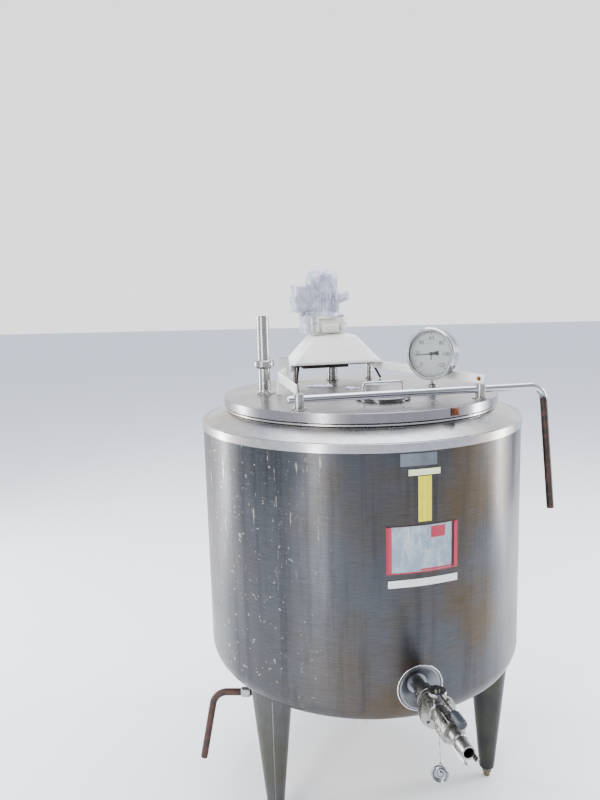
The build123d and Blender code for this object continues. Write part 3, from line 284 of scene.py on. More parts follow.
def turned_steel(name, base, roughness=0.26, dirt="#4b443a", dirty=0.75, scale=28.0):
    """Turned and polished 304 fittings: fine rings, soft gloss, brown dirt in patches."""
    material, tree, where = fresh(name)
    spots = grain(tree, where, scale, detail=7.0, roughness=0.65)
    patches = spread(tree, spots, 0.52, 0.7, 0.0, dirty)
    tint = mixed(tree, patches, base, linear(dirt))
    gloss = spread(tree, spots, 0.35, 0.75, roughness - 0.08, roughness + 0.2)
    close(tree, Base_Color=tint, Metallic=1.0, Roughness=gloss, Normal=raised(tree, spots, 0.12, 0.0006))
    return material


def bar_steel(name):
    """Polished tube for the swinging bar: bright above, with old dark paint and rust on its drop."""
    material, tree, where = fresh(name)
    height = add(tree, "ShaderNodeSeparateXYZ", {0: where}).outputs["Z"]
    bloom = grain(tree, where, 55.0, detail=7.0, roughness=0.7)
    ragged = add(tree, "ShaderNodeMath", {0: height, 1: times(tree, bloom, 0.05)}, operation="ADD").outputs[0]
    below = spread(tree, ragged, LID_TOP + 0.03, LID_TOP + 0.012)
    rust = mixed(tree, spread(tree, bloom, 0.45, 0.62), linear("#241b19"), linear("#4d3226"))
    tint = mixed(tree, below, linear("#b9bcc0"), rust)
    close(tree, Base_Color=tint, Metallic=spread(tree, below, 0, 1, 1.0, 0.35),
          Roughness=spread(tree, below, 0, 1, 0.14, 0.5), Normal=raised(tree, bloom, 0.2, 0.0005))
    return material


def chipped_paint(name, base, rust="#7a4a22", amount=0.66, scale=55.0, roughness=0.4):
    """Brushed-on enamel over mild steel: slightly uneven, with small chips that have rusted."""
    material, tree, where = fresh(name)
    chips = spread(tree, grain(tree, where, scale, detail=6.0, roughness=0.7), amount, amount + 0.03)
    grime = spread(tree, grain(tree, where, 9.0, detail=4.0), 0.4, 0.8, 1.0, 0.88)
    tint = mixed(tree, chips, mixed(tree, 1.0, base, grime, "MULTIPLY"), linear(rust))
    brush = grain(tree, where, 90.0, (1, 1, 8), 3.0)
    uneven = add(tree, "ShaderNodeMath", {0: brush, 1: chips}, operation="SUBTRACT").outputs[0]
    close(tree, Base_Color=tint, Roughness=spread(tree, chips, 0, 1, roughness, 0.9),
          Normal=raised(tree, uneven, 0.25, 0.0005))
    return material


def rusted_iron(name, dark="#241a18", rust="#4e2c1e", pale="#6b4633"):
    """Mild steel with old dark paint and brown rust: matt, finely pitted."""
    material, tree, where = fresh(name)
    bloom = grain(tree, where, 40.0, detail=8.0, roughness=0.7)
    tint = add(tree, "ShaderNodeValToRGB", {"Fac": bloom},
               stops=((0.4, linear(dark)), (0.6, linear(rust)), (0.76, linear(pale)))).outputs[0]
    # pits under a millimetre across, drawn at about 3 mm
    pits = grain(tree, where, 350.0, detail=3.0)
    close(tree, Base_Color=tint, Metallic=0.25, Roughness=0.55, Normal=raised(tree, pits, 0.5, 0.0005))
    return material


def moulded(name, base, roughness=0.5, vary=0.14, depth=0.0002, grit=900.0, coat=0.0):
    """A moulded, painted or printed surface: one colour, a fine grain and a little unevenness."""
    material, tree, where = fresh(name)
    soft = spread(tree, grain(tree, where, 24.0), 0.3, 0.7, 1.0 - vary, 1.0 + vary / 3)
    tint = mixed(tree, 1.0, base, soft, "MULTIPLY")
    fine = grain(tree, where, grit, detail=2.0)
    close(tree, Base_Color=tint, Roughness=roughness, Normal=raised(tree, fine, 0.3, depth), Coat_Weight=coat)
    return material


def scuffed_pocket(name, base):
    """Scuffed soft PVC: a milky grey-blue face, with worn pale patches and scratches."""
    material, tree, where = fresh(name)
    worn = spread(tree, grain(tree, where, 38.0, (1, 1, 0.5), 7.0, 0.7), 0.46, 0.64)
    scratch = spread(tree, grain(tree, where, 160.0, (1, 1, 0.07), 3.0), 0.6, 0.66)
    tint = mixed(tree, worn, base, linear("#a7b1b8"))
    tint = mixed(tree, times(tree, scratch, 0.6), tint, linear("#c6ccd0"))
    close(tree, Base_Color=tint, Roughness=spread(tree, worn, 0, 1, 0.28, 0.55),
          Normal=raised(tree, worn, 0.2, 0.0006))
    return material


def ribbed_tape(name, base):
    """Cloth-backed yellow tape: fine upright ribs 2.5 mm apart, rubbed dull at places."""
    material, tree, where = fresh(name)
    across = add(tree, "ShaderNodeMapping", {"Vector": where, "Scale": (1, 0.001, 0.001)})
    # the wave's own unit is 20 times finer than its scale
    ribs = add(tree, "ShaderNodeTexWave", {"Vector": across.outputs[0], "Scale": 400 / math.tau / 3.2},
               wave_type="BANDS", bands_direction="X").outputs["Fac"]
    soil = spread(tree, grain(tree, where, 45.0, detail=6.0), 0.45, 0.7)
    tint = mixed(tree, times(tree, soil, 0.35), base, linear("#a89b12"))
    tint = mixed(tree, 1.0, tint, spread(tree, ribs, 0, 1, 0.9, 1.04), "MULTIPLY")
    close(tree, Base_Color=tint, Roughness=0.5, Normal=raised(tree, ribs, 0.4, 0.0004))
    return material


def stretch_film(name, base):
    """Clear polyethylene stretch film wound round many times: milky and glossy, with painted shade and painted white
    highlights over a pattern of folds.
    """
    material, tree, where = fresh(name)
    folds = grain(tree, where, 30.0, (1, 1, 0.6), 6.0, 0.7)
    # painted shade: a darker bluish tint over the fold pattern stands in for shade in the creases, where the film is
    # also made more see-through
    crease_shade_mask = spread(tree, folds, 0.35, 0.66)
    tint = mixed(tree, crease_shade_mask, base, linear("#a9adc4"))
    # painted highlight: pure white along the tops of the fold pattern stands in for glints on the creased film
    tint = mixed(tree, spread(tree, folds, 0.64, 0.7), tint, linear("#ffffff"))
    fine = grain(tree, where, 140.0, (1, 1, 0.5), 4.0, 0.7)
    close(tree, Base_Color=tint, Roughness=0.22, Alpha=spread(tree, crease_shade_mask, 0, 1, 0.72, 0.34),
          Normal=raised(tree, fine, 0.5, 0.0012), Coat_Weight=0.4)
    return material


def twine(name):
    """Three-strand polypropylene twine, gone grey: matt, with strands 2 mm apart."""
    material, tree, where = fresh(name)
    strands = add(tree, "ShaderNodeTexWave", {"Vector": where, "Scale": 500 / math.tau / 3.2, "Distortion": 1.5},
                  bands_direction="DIAGONAL").outputs["Fac"]
    tint = mixed(tree, strands, linear("#6f6c66"), linear("#c4c1b8"))
    close(tree, Base_Color=tint, Roughness=0.85, Normal=raised(tree, strands, 0.6, 0.0006))
    return material


# ------------------------------------------------------------------ shapes
def facing(origin, direction):
    """A placement whose local z runs along a direction."""
    return Matrix.Translation(origin) @ Vector(direction).to_track_quat("Z", "Y").to_matrix().to_4x4()


def lathe(profile, origin, direction, steps=96):
    """Spins an outline of (radius, height) points in millimetres about an axis into a skin."""
    bm = bmesh.new()
    place = facing(origin, direction)
    verts = [bm.verts.new(place @ Vector((radius * MM, 0, height * MM))) for radius, height in profile]
    edges = [bm.edges.new(pair) for pair in zip(verts, verts[1:])]
    bmesh.ops.spin(bm, geom=verts + edges, cent=origin, axis=direction, angle=math.tau, steps=steps,
                   use_merge=True)
    bmesh.ops.remove_doubles(bm, verts=bm.verts, dist=1e-6)
    bmesh.ops.recalc_face_normals(bm, faces=bm.faces)
    return bm


def rod(start, end, radius, segments=24):
    """A closed round rod between two points."""
    bm = bmesh.new()
    run = Vector(end) - Vector(start)
    bmesh.ops.create_cone(bm, cap_ends=True, segments=segments, radius1=radius, radius2=radius,
                          depth=run.length, matrix=facing((Vector(start) + Vector(end)) / 2, run))
    rims = [edge for edge in bm.edges if not edge.verts[0].co.cross(run) == edge.verts[1].co.cross(run)
            and abs((edge.verts[1].co - edge.verts[0].co).normalized().dot(run.normalized())) < 0.5]
    bmesh.ops.bevel(bm, geom=rims, offset=radius * 0.2, affect="EDGES", segments=2, profile=0.5, material=-1)
    return bm


def block(size, place, bevel, segments=3):
    """A box of a size in metres at a placement, with its edges rounded."""
    bm = bmesh.new()
    bmesh.ops.create_cube(bm, size=1.0, matrix=place @ Matrix.Diagonal((*size, 1)))
    bmesh.ops.bevel(bm, geom=bm.edges[:], offset=bevel, affect="EDGES", segments=segments, profile=0.5,
                    material=-1)
    return bm


def hexagon(place, radius, height):
    """A hexagonal bolt head that stands on a placement's plane."""
    bm = bmesh.new()
    bmesh.ops.create_cone(bm, cap_ends=True, segments=6, radius1=radius, radius2=radius, depth=height,
                          matrix=place @ Matrix.Translation((0, 0, height / 2)))
    bmesh.ops.bevel(bm, geom=bm.edges[:], offset=radius * 0.1, affect="EDGES", segments=2, profile=0.5,
                    material=-1)
    return bm


def joined(*shapes):
    """Several bmeshes as one."""
    whole = bmesh.new()
    for shape in shapes:
        spare = bpy.data.meshes.new("spare")
        shape.to_mesh(spare)
        shape.free()
        whole.from_mesh(spare)
        bpy.data.meshes.remove(spare)
    return whole


def patch(azimuth, width, low, height, lift, thickness, curl=0.0):
    """A thin plate stuck on the shell: its middle's azimuth, its width, and its heights, in metres."""
    bm = bmesh.new()
    bmesh.ops.create_grid(bm, x_segments=40, y_segments=16, size=0.5)
    for vert in bm.verts:
        across, up = vert.co.x, vert.co.y + 0.5
        loose = curl * abs(2 * across) ** 4
        turn = azimuth + math.degrees(across * width / SHELL_RADIUS)
        vert.co = polar(turn, SHELL_RADIUS + lift + loose + abs(noise.noise(vert.co * 5)) * 0.0003,
                        low + up * height)
    bmesh.ops.recalc_face_normals(bm, faces=bm.faces)
    if sum(face.normal.dot(face.calc_center_median().xy.to_3d()) for face in bm.faces) < 0:
        bmesh.ops.reverse_faces(bm, faces=bm.faces)
    bmesh.ops.solidify(bm, geom=bm.faces[:], thickness=thickness)
    return bm


def weld(centre, radius, width, direction=UP, seed=0):
    """A ring of weld bead, with its ripples."""
    bm = lathe([(radius / MM + math.cos(turn) * width / MM / 2, math.sin(turn) * width / MM / 2)
                for turn in [math.tau * step / 10 for step in range(10)] + [0.0]],
               centre, direction, steps=int(radius / 0.0006))
    for vert in bm.verts:
        vert.co += vert.normal * noise.noise(vert.co * 420 + Vector((seed, 0, 0))) * width * 0.25
    return bm


def piece(name, bm, body, material, replaced=(), sharp=35.0):
    """Turns a bmesh into a finished piece that rides on a body."""
    mesh = bpy.data.meshes.new(name)
    bm.to_mesh(mesh)
    bm.free()
    mesh.polygons.foreach_set("use_smooth", [True] * len(mesh.polygons))
    mesh.set_sharp_from_angle(angle=math.radians(sharp))
    made = bpy.data.objects.new(name, mesh)
    bpy.context.scene.collection.objects.link(made)
    mesh.materials.append(material)
    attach(made, body)
    if replaced:
        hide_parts(*replaced)
    return made


def dress(material, *nodes):
    """Gives CAD nodes a material."""
    for name in nodes:
        node = frame["nodes"][name]
        node.data.materials.clear()
        node.data.materials.append(material)


def finish(name):
    """A material made by the finishes operator."""
    return bpy.data.materials[name]


# ------------------------------------------------------------------ operators
class TANK_OT_finishes(bpy.types.Operator):
    """Makes every finish and gives the CAD nodes that stay theirs."""
    bl_idname = "tank.finishes"
    bl_label = "Finish the frame"

    def execute(self, context):
        look = context.scene.tank_finish
        dress(shell_steel(look), "outer_shell")
        dress(sheet_steel("dished outlet steel", linear("#7d8188"), linear("#5b5a58"), 0.3), "outlet_dish")
        dress(sheet_steel("shoulder steel", look.shoulder, linear("#a8997a"), 0.22, stained=0.55),
              "shoulder_cone", "neck_ring")
        dress(sheet_steel("lid steel", look.lid, linear("#7a7174"), 0.2, (1, 14, 1), 0.6), "lid_plate")
        dress(sheet_steel("hatch steel", linear("#6f7072"), linear("#55504b"), 0.24), "hatch_cover")
        dress(sheet_steel("milk side steel", linear("#b9bbbd"), linear("#a9a9a2"), 0.2),
              "inner_vessel", "jacket_wall", "impeller")
        # painted shade: the three legs are one steel, and the right leg's copy (#303337) is set darker still as shade
        leg = {"leg_left": look.leg, "leg_right": linear("#303337"), "leg_rear": look.leg}
        for name, base in leg.items():
            dress(sheet_steel(name.replace("_", " ") + " steel", base, linear("#4c4a40"), 0.34, (3, 3, 0.06), 0.8),
                  name)
        dress(turned_steel("foot steel", linear("#6b6656"), 0.45, "#4b3a22", 0.9, 90.0), "feet")
        dress(turned_steel("fitting steel", look.fitting),
              "outlet_neck", "valve_inlet_half", "valve_outlet_half", "union_nut", "outlet_spigot", "valve_disc",
              "valve_lever", "shaft_housing", "valve_bolts")
        dress(turned_steel("pipe steel", linear("#a3a29f"), 0.24, "#6a6154", 0.5),
              "fill_pipe", "fill_union", "fill_stub", "bar_lugs", "motor_posts", "thermo_well", "agitator_shaft")
        dress(turned_steel("bright wire steel", linear("#c9cbce"), 0.16, dirty=0.3), "hatch_handle",
              "thermo_bezel")
        dress(turned_steel("thermometer case steel", linear("#8d8f93"), 0.22, dirty=0.4), "thermo_case")
        dress(bar_steel("polished bar steel"), "swing_bar")
        dress(rusted_iron("rusted drain iron"), "drain_pipe")
        dress(rusted_iron("dark bridge iron", "#1d1a19", "#33261f", "#4c4038"), "bridge_plate")
        dress(turned_steel("galvanised iron", linear("#a6a8a6"), 0.42), "drain_socket")
        dress(moulded("plug polypropylene", linear("#cfcfc6"), 0.5), "jacket_stub")
        dress(chipped_paint("white stand enamel", look.paint), "arm_left", "arm_right", "lantern")
        turned_steel("rusted bolt steel", linear("#7d5226"), 0.55, "#3f2410", 0.9, 120.0)
        dress(finish("rusted bolt steel"), "gearbox_bolts", "arm_bolts")
        dress(moulded("motor enamel", look.motor, 0.36), "motor_body", "fan_cover")
        dress(moulded("terminal box polyamide", linear("#dedfda"), 0.45), "terminal_box")
        dress(moulded("seal rubber", linear("#232425"), 0.7), "lid_seal", "valve_seat")
        dress(moulded("grip vinyl", linear("#20262f"), 0.42, depth=0.0004), "lever_grip")
        dress(moulded("insulating foam", linear("#d8c48a"), 0.9), "insulation")
        dress(moulded("backing vinyl", look.backing, 0.35), "holder_backing")
        dress(scuffed_pocket("pocket vinyl", look.pocket), "holder_pocket")
        dress(moulded("dial enamel", linear("#d5dcd8"), 0.3, 0.06), "thermo_dial")
        dress(moulded("pointer paint", linear("#101010"), 0.4), "thermo_pointer")
        glass, tree, where = fresh("dial glass")
        # window glass: clear, sharp reflections, with a film of dust that dulls them in patches
        dust = spread(tree, grain(tree, where, 30.0), 0.4, 0.7, 0.02, 0.16)
        close(tree, Base_Color=WHITE, Roughness=dust, Transmission_Weight=1.0, IOR=1.5)
        dress(glass, "thermo_glass")
        chipped_paint("hood enamel", look.paint, amount=0.69, scale=38.0)
        chipped_paint("gearbox enamel", look.gear_paint, "#6e5a44", 0.63, 42.0)
        stretch_film("stretch film", look.film)
        twine("grey twine")
        moulded("label paper", look.label, 0.6, 0.2)
        moulded("strip paper", look.strip, 0.35, 0.1, coat=0.3)
        ribbed_tape("ribbed tape", look.tape)
        moulded("glue residue", linear("#5d646d"), 0.55, 0.4)
        turned_steel("weld steel", linear("#85827e"), 0.3, "#3c362e", 0.8, 90.0)
        rusted_iron("rusted catch iron", "#2c1a12", "#6a3517", "#8f5a30")
        turned_steel("cap steel", linear("#85888d"), 0.18, dirty=0.5)
        moulded("black gasket", linear("#17181a"), 0.6)
        return {"FINISHED"}


class TANK_OT_stage(bpy.types.Operator):
    """Makes the pale floor, the soft lights and the camera."""
    bl_idname = "tank.stage"
    bl_label = "Stage"

    def execute(self, context):
        scene = context.scene
        bm = bmesh.new()
        bmesh.ops.create_grid(bm, x_segments=1, y_segments=1, size=30)
        mesh = bpy.data.meshes.new("studio floor")
        bm.to_mesh(mesh)
        bm.free()
        floor = bpy.data.objects.new("studio_floor", mesh)
        scene.collection.objects.link(floor)
        material, tree, where = fresh("pale studio floor")
        close(tree, Base_Color=linear("#fbfbfa"), Roughness=0.9)
        mesh.materials.append(material)
        world = bpy.data.worlds.new("studio")
        world.use_nodes = True
        tree = world.node_tree
        tree.nodes.clear()
        direction = add(tree, "ShaderNodeTexCoord").outputs["Generated"]
        parts = add(tree, "ShaderNodeSeparateXYZ", {0: direction})
        sky = add(tree, "ShaderNodeValToRGB", {"Fac": parts.outputs["Z"]},
                  stops=((0.0, linear("#ffffff")), (0.62, linear("#f6f7fb")), (0.78, linear("#8fa9dd")),
                         (0.9, linear("#9fb5e2")), (1.0, linear("#e8edf8")))).outputs[0]
        # the studio is darker behind the camera, which keeps the front of the steel dark
        front = spread(tree, parts.outputs["Y"], -0.75, 0.15, 0.3, 1.0)
        glow = add(tree, "ShaderNodeBackground", {"Color": mixed(tree, 1.0, sky, front, "MULTIPLY"),
                                                   "Strength": 1.9})
        add(tree, "ShaderNodeOutputWorld", {"Surface": glow.outputs[0]})
        scene.world = world
        for name, place, size, power in (
                ("front_band", polar(-118, 4.0, 1.3), (0.45, 2.4), 80),
                ("right_band", polar(15, 4.0, 1.2), (0.5, 2.6), 160),
                ("left_band", polar(164, 4.0, 1.2), (0.7, 2.6), 160),
                ("key", Vector((-2.2, -2.8, 3.6)), (2.0, 2.0), 110),
                ("top", Vector((0.3, 0.6, 5.0)), (5.0, 5.0), 420)):
            lamp = bpy.data.lights.new(name, "AREA")
            lamp.shape = "RECTANGLE"
            lamp.size, lamp.size_y = size
            lamp.energy = power
            holder = bpy.data.objects.new(name, lamp)
            holder.location = place
            holder.rotation_euler = (Vector((0, 0, 0.9)) - place).to_track_quat("-Z", "Y").to_euler()
            scene.collection.objects.link(holder)
        yaw, pitch, roll = -0.085, 0.152, 0.027
        ahead = Vector((math.sin(yaw) * math.cos(pitch), math.cos(yaw) * math.cos(pitch), -math.sin(pitch)))
        level = Vector((math.cos(yaw), -math.sin(yaw), 0))
        down = ahead.cross(level)
        right = math.cos(roll) * level + math.sin(roll) * down
        below = -math.sin(roll) * level + math.cos(roll) * down
        lens = bpy.data.cameras.new("camera")
        lens.lens = 31.5
        lens.sensor_width = 36.0
        lens.clip_start = 0.05
        camera = bpy.data.objects.new("camera", lens)
        scene.collection.objects.link(camera)
        camera.matrix_world = Matrix.Translation((0, -2.22349, 1.59415)) @ Matrix(
            (right, -below, -ahead)).transposed().to_4x4()
        scene.camera = camera
        return {"FINISHED"}


class TANK_OT_string(bpy.types.Operator):
    """Makes the string from the valve's spindle, its knots and the blanking cap that hangs on it."""
    bl_idname = "tank.string"
    bl_label = "String and cap"

    def execute(self, context):
        # along the outlet from the spindle, to the side, and up, in metres
        route = [SPINDLE + OUTLET * along + OUTLET_SIDE * side + UP * up for along, side, up in (
            (0.012, -0.0130, 0.0371), (0.024, -0.0190, 0.0385), (0.040, -0.0250, 0.0340),
            (0.060, -0.0295, 0.0275), (0.080, -0.0330, 0.0210), (0.092, -0.0360, 0.0070),
            (0.096, -0.0365, -0.0140), (0.0955, -0.0350, -0.0420), (0.097, -0.0345, -0.0720))]
        radius = 0.00125
        end = route[-1]
        rim, thick, drop = 21.5 * MM, 12.0, 4.0 * MM
        cap_out = polar(-100, 1.0)
        back = end - UP * (rim + drop)
        profile = ((0, 0), (16, 0), (19.5, 1.2), (21.5, 4), (21.5, 9), (20.4, 11), (18.5, thick),
                   (16.8, 11.2), (15.6, 8), (14, 6.5), (8.5, 6.2), (7.5, 7.6), (5, 8.6), (0, 8.9))
        cap = lathe(profile, back, cap_out)
        eye = lathe([(4.2 + 1.3 * math.cos(turn), 1.3 * math.sin(turn))
                     for turn in [math.tau * step / 12 for step in range(12)] + [0.0]],
                    back + cap_out * thick * MM / 2 + UP * (rim + 1.4 * MM), cap_out, 32)
        cap_piece = piece("blanking_cap", joined(cap, eye), "tank", finish("cap steel"),
                          ["blank_cap"], sharp=50)
        knots = [weld(place, size * MM, 2.2 * MM, Vector(tilt), seed) for seed, (place, size, tilt) in enumerate((
            (end, 1.9, (0.2, 0.1, 1)), (end + UP * 0.0035, 1.7, (-0.3, 0.2, 1)), (end + UP * 0.012, 1.6, (0, -0.3, 1)),
            (route[0], 1.8, OUTLET)))]
        knot_piece = piece("string_knots", joined(*knots), "tank", finish("grey twine"))
        curve = bpy.data.curves.new("cap_string", "CURVE")
        curve.dimensions = "3D"
        curve.bevel_depth = radius
        curve.bevel_resolution = 4
        curve.resolution_u = 16
        curve.use_fill_caps = True
        line = curve.splines.new("NURBS")
        line.points.add(len(route) - 1)
        for point, place in zip(line.points, route):
            point.co = (*place, 1)
        line.order_u = 3
        line.use_endpoint_u = True
        string = bpy.data.objects.new("cap_string", curve)
        context.scene.collection.objects.link(string)
        curve.materials.append(finish("grey twine"))
        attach(string, "tank")
        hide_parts("cap_cord")
        return {"FINISHED"}


class TANK_OT_drive(bpy.types.Operator):
    """Makes the folded hood, the cast gearbox, the motor's fittings and the struts of the stand."""
    bl_idname = "tank.drive"
    bl_label = "Drive"

    def execute(self, context):
        turned = Matrix(((BAR_ALONG.x, BAR_SIDE.x, 0), (BAR_ALONG.y, BAR_SIDE.y, 0), (0, 0, 1))).to_4x4()
        low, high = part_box("hood")
        foot, top, wall = (0.318, 0.196), (0.146, 0.116), 0.002
        centre = Vector((SHAFT.x, SHAFT.y, (low.z + high.z) / 2))
        bm = bmesh.new()
        bmesh.ops.create_cube(bm, size=1.0, matrix=Matrix.Diagonal((*foot, high.z - low.z, 1)))
        for vert in bm.verts:
            if vert.co.z > 0:
                vert.co.x *= top[0] / foot[0]
                vert.co.y *= top[1] / foot[1]
        bm.normal_update()
        bmesh.ops.delete(bm, geom=[face for face in bm.faces if face.normal.z < -0.9], context="FACES")
        folds = [edge for edge in bm.edges if not edge.is_boundary]
        bmesh.ops.bevel(bm, geom=folds, offset=0.005, affect="EDGES", segments=3, profile=0.5, material=-1)
        bmesh.ops.subdivide_edges(bm, edges=bm.edges[:], cuts=7, use_grid_fill=True)
        bm.normal_update()
        for vert in bm.verts:
            # wide shallow dents, up to 1.5 mm deep
            vert.co -= vert.normal * 0.0015 * max(0.0, noise.noise(vert.co * 14))
        bmesh.ops.transform(bm, matrix=Matrix.Translation(centre) @ turned, verts=bm.verts)
        bmesh.ops.recalc_face_normals(bm, faces=bm.faces)
        hood = piece("folded_hood", bm, "lid", finish("hood enamel"), ["hood"], sharp=40)
        sheet = hood.modifiers.new("sheet", "SOLIDIFY")
        sheet.thickness = wall

        low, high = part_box("gearbox")
        axis = Vector((MOTOR.x, MOTOR.y, 0))
        place = Matrix.Translation(axis + UP * (low.z + high.z) / 2) @ turned
        case = block((0.148, 0.118, high.z - low.z - 0.002), place, 0.026, 8)
        seat = lathe(((0, high.z / MM - 14), (63, high.z / MM - 14), (66, high.z / MM - 11),
                      (64, high.z / MM - 3), (57, high.z / MM), (0, high.z / MM)), axis, UP)
        boss = block((0.062, 0.020, 0.030), place @ Matrix.Translation((0.016, -0.056, -0.012)), 0.006)
        ribs = [block((0.006, 0.014, 0.046), place @ Matrix.Translation((across, -0.060, 0)), 0.002)
                for across in (-0.052, -0.030, 0.058)]
        piece("gearbox_casting", joined(case, seat, boss, *ribs), "lid",
              finish("gearbox enamel"), ["gearbox"], sharp=45)

        low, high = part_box("terminal_box")
        outer = reach("terminal_box", -BAR_ALONG)
        screws = []
        for across in (-0.034, 0.034):
            for up in (low.z + 0.012, high.z - 0.012):
                spot = -BAR_ALONG * outer + BAR_SIDE * (axis.dot(BAR_SIDE) + across) + UP * up
                screws.append(lathe(((0, 1.6), (2.6, 1.3), (3.4, 0), (3.4, -2), (0, -2)), spot, -BAR_ALONG, 24))
        piece("terminal_screws", joined(*screws), "lid", finish("pipe steel"))
        gland_at = -BAR_ALONG * (outer - 0.024) + BAR_SIDE * axis.dot(BAR_SIDE) + UP * low.z
        gland = lathe(((0, 16), (7, 16), (8, 12), (11, 10), (11, 3), (12.5, 2), (12.5, -1), (0, -1)),
                      gland_at, -UP, 24)
        piece("cable_gland", gland, "lid", finish("terminal box polyamide"))

        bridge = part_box("bridge_plate")[0].z
        right = SHAFT + BAR_ALONG * 0.138
        left = SHAFT - BAR_ALONG * 0.138
        struts = (rod((right.x + 0.014, right.y - 0.012, bridge + 0.006),
                      (right.x + 0.042, right.y - 0.020, LID_TOP + 0.003), 0.0042),
                  rod((left.x + 0.016, left.y - 0.016, bridge + 0.006),
                      (left.x + 0.010, left.y - 0.034, LID_TOP + 0.003), 0.0038))
        piece("stand_struts", joined(*struts), "lid", finish("dark bridge iron"))
        return {"FINISHED"}


class TANK_OT_film(bpy.types.Operator):
    """Makes the torn stretch film round the motor and gearbox, and the scraps of it on the lid."""
    bl_idname = "tank.film"
    bl_label = "Stretch film"

    def execute(self, context):
        sizes = context.scene.tank_sizes
        wrapped = bmesh.new()
        for name in ("motor_body", "fan_cover", "terminal_box", "gearbox"):
            wrapped.from_mesh(frame["nodes"][name].data)
        lump = block((0.050, 0.050, 0.034), Matrix.Translation(
            (MOTOR.x, MOTOR.y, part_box("motor_body")[0].z + 0.060)) @ Matrix.Translation(BAR_ALONG * 0.066), 0.012)
        spare = bpy.data.meshes.new("spare")
        lump.to_mesh(spare)
        lump.free()
        wrapped.from_mesh(spare)
        tree = BVHTree.FromBMesh(wrapped)
        wrapped.free()
        heart = Vector((MOTOR.x, MOTOR.y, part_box("motor_body")[0].z + 0.030))
        far = 0.5
        bm = bmesh.new()
        bmesh.ops.create_icosphere(bm, subdivisions=6, radius=1.0)
        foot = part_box("gearbox")[0].z
        floor = {}
        for vert in bm.verts:
            ray = vert.co.normalized()
            hit, normal, index, distance = tree.ray_cast(heart + ray * far, -ray, far)
            floor[vert.index] = (far - distance if hit else 0.06) + sizes.film_gap
            vert.co = ray * floor[vert.index]
        for turn in range(6):
            bmesh.ops.smooth_vert(bm, verts=bm.verts, factor=0.5, use_axis_x=True, use_axis_y=True,
                                  use_axis_z=True)
            for vert in bm.verts:
                if vert.co.length < floor[vert.index]:
                    vert.co = vert.co.normalized() * floor[vert.index]
        for vert in bm.verts:
            here = vert.co + Vector((3.1, 1.7, 0.4))
            crease = 1 - abs(noise.noise(Vector((here.x * 26, here.y * 26, here.z * 15)))) * 2.4
            small = 1 - abs(noise.noise(here * 75)) * 2
            vert.co += vert.co.normalized() * (sizes.film_crumple * (max(0.0, crease) ** 3 * 0.9 + small * 0.22)
                                               + 0.0006)
        open_faces = []
        for face in bm.faces:
            spot = face.calc_center_median() + heart
            ragged = noise.noise(spot * 40) * 0.016
            out = spot - Vector((MOTOR.x, MOTOR.y, spot.z))
            across, ahead = out.dot(BAR_ALONG), -out.dot(BAR_SIDE)
            in_front = ahead > 0.02 and -0.040 + ragged < across < 0.058 + ragged
            window = in_front and spot.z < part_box("motor_body")[0].z - 0.004 + ragged * 0.5
            window = window or (ahead > 0.02 and spot.z < foot + 0.034 + ragged and across > -0.055 + ragged)
            if window or spot.z < foot + 0.004 + abs(ragged) * 0.4:
                open_faces.append(face)
        bmesh.ops.delete(bm, geom=open_faces, context="FACES")
        bmesh.ops.translate(bm, vec=heart, verts=bm.verts)
        bmesh.ops.solidify(bm, geom=bm.faces[:], thickness=0.0003)
        film = piece("stretch_film", bm, "lid", finish("stretch film"), ["motor_wrap"], sharp=180)
        for number, (x, y, width, depth) in enumerate(((0.060, 0.150, 0.075, 0.045), (-0.020, 0.055, 0.045, 0.022),
                                                        (-0.130, 0.120, 0.085, 0.040))):
            scrap = bmesh.new()
            bmesh.ops.create_grid(scrap, x_segments=64, y_segments=40, size=0.5)
            for vert in scrap.verts:
                here = Vector((vert.co.x * width, vert.co.y * depth, 0))
                fold = noise.noise(here * 60 + Vector((number * 7, 0, 0)))
                flat = 1 - min(1.0, 2 * max(abs(vert.co.x), abs(vert.co.y))) ** 4
                vert.co = here + Vector((x, y, LID_TOP + 0.0012 + abs(fold) * 0.010 * flat))
            bmesh.ops.solidify(scrap, geom=scrap.faces[:], thickness=0.0003)
            made = piece(f"film_scrap_{number + 1}", scrap, "lid", finish("stretch film"),
                         sharp=180)
        return {"FINISHED"}


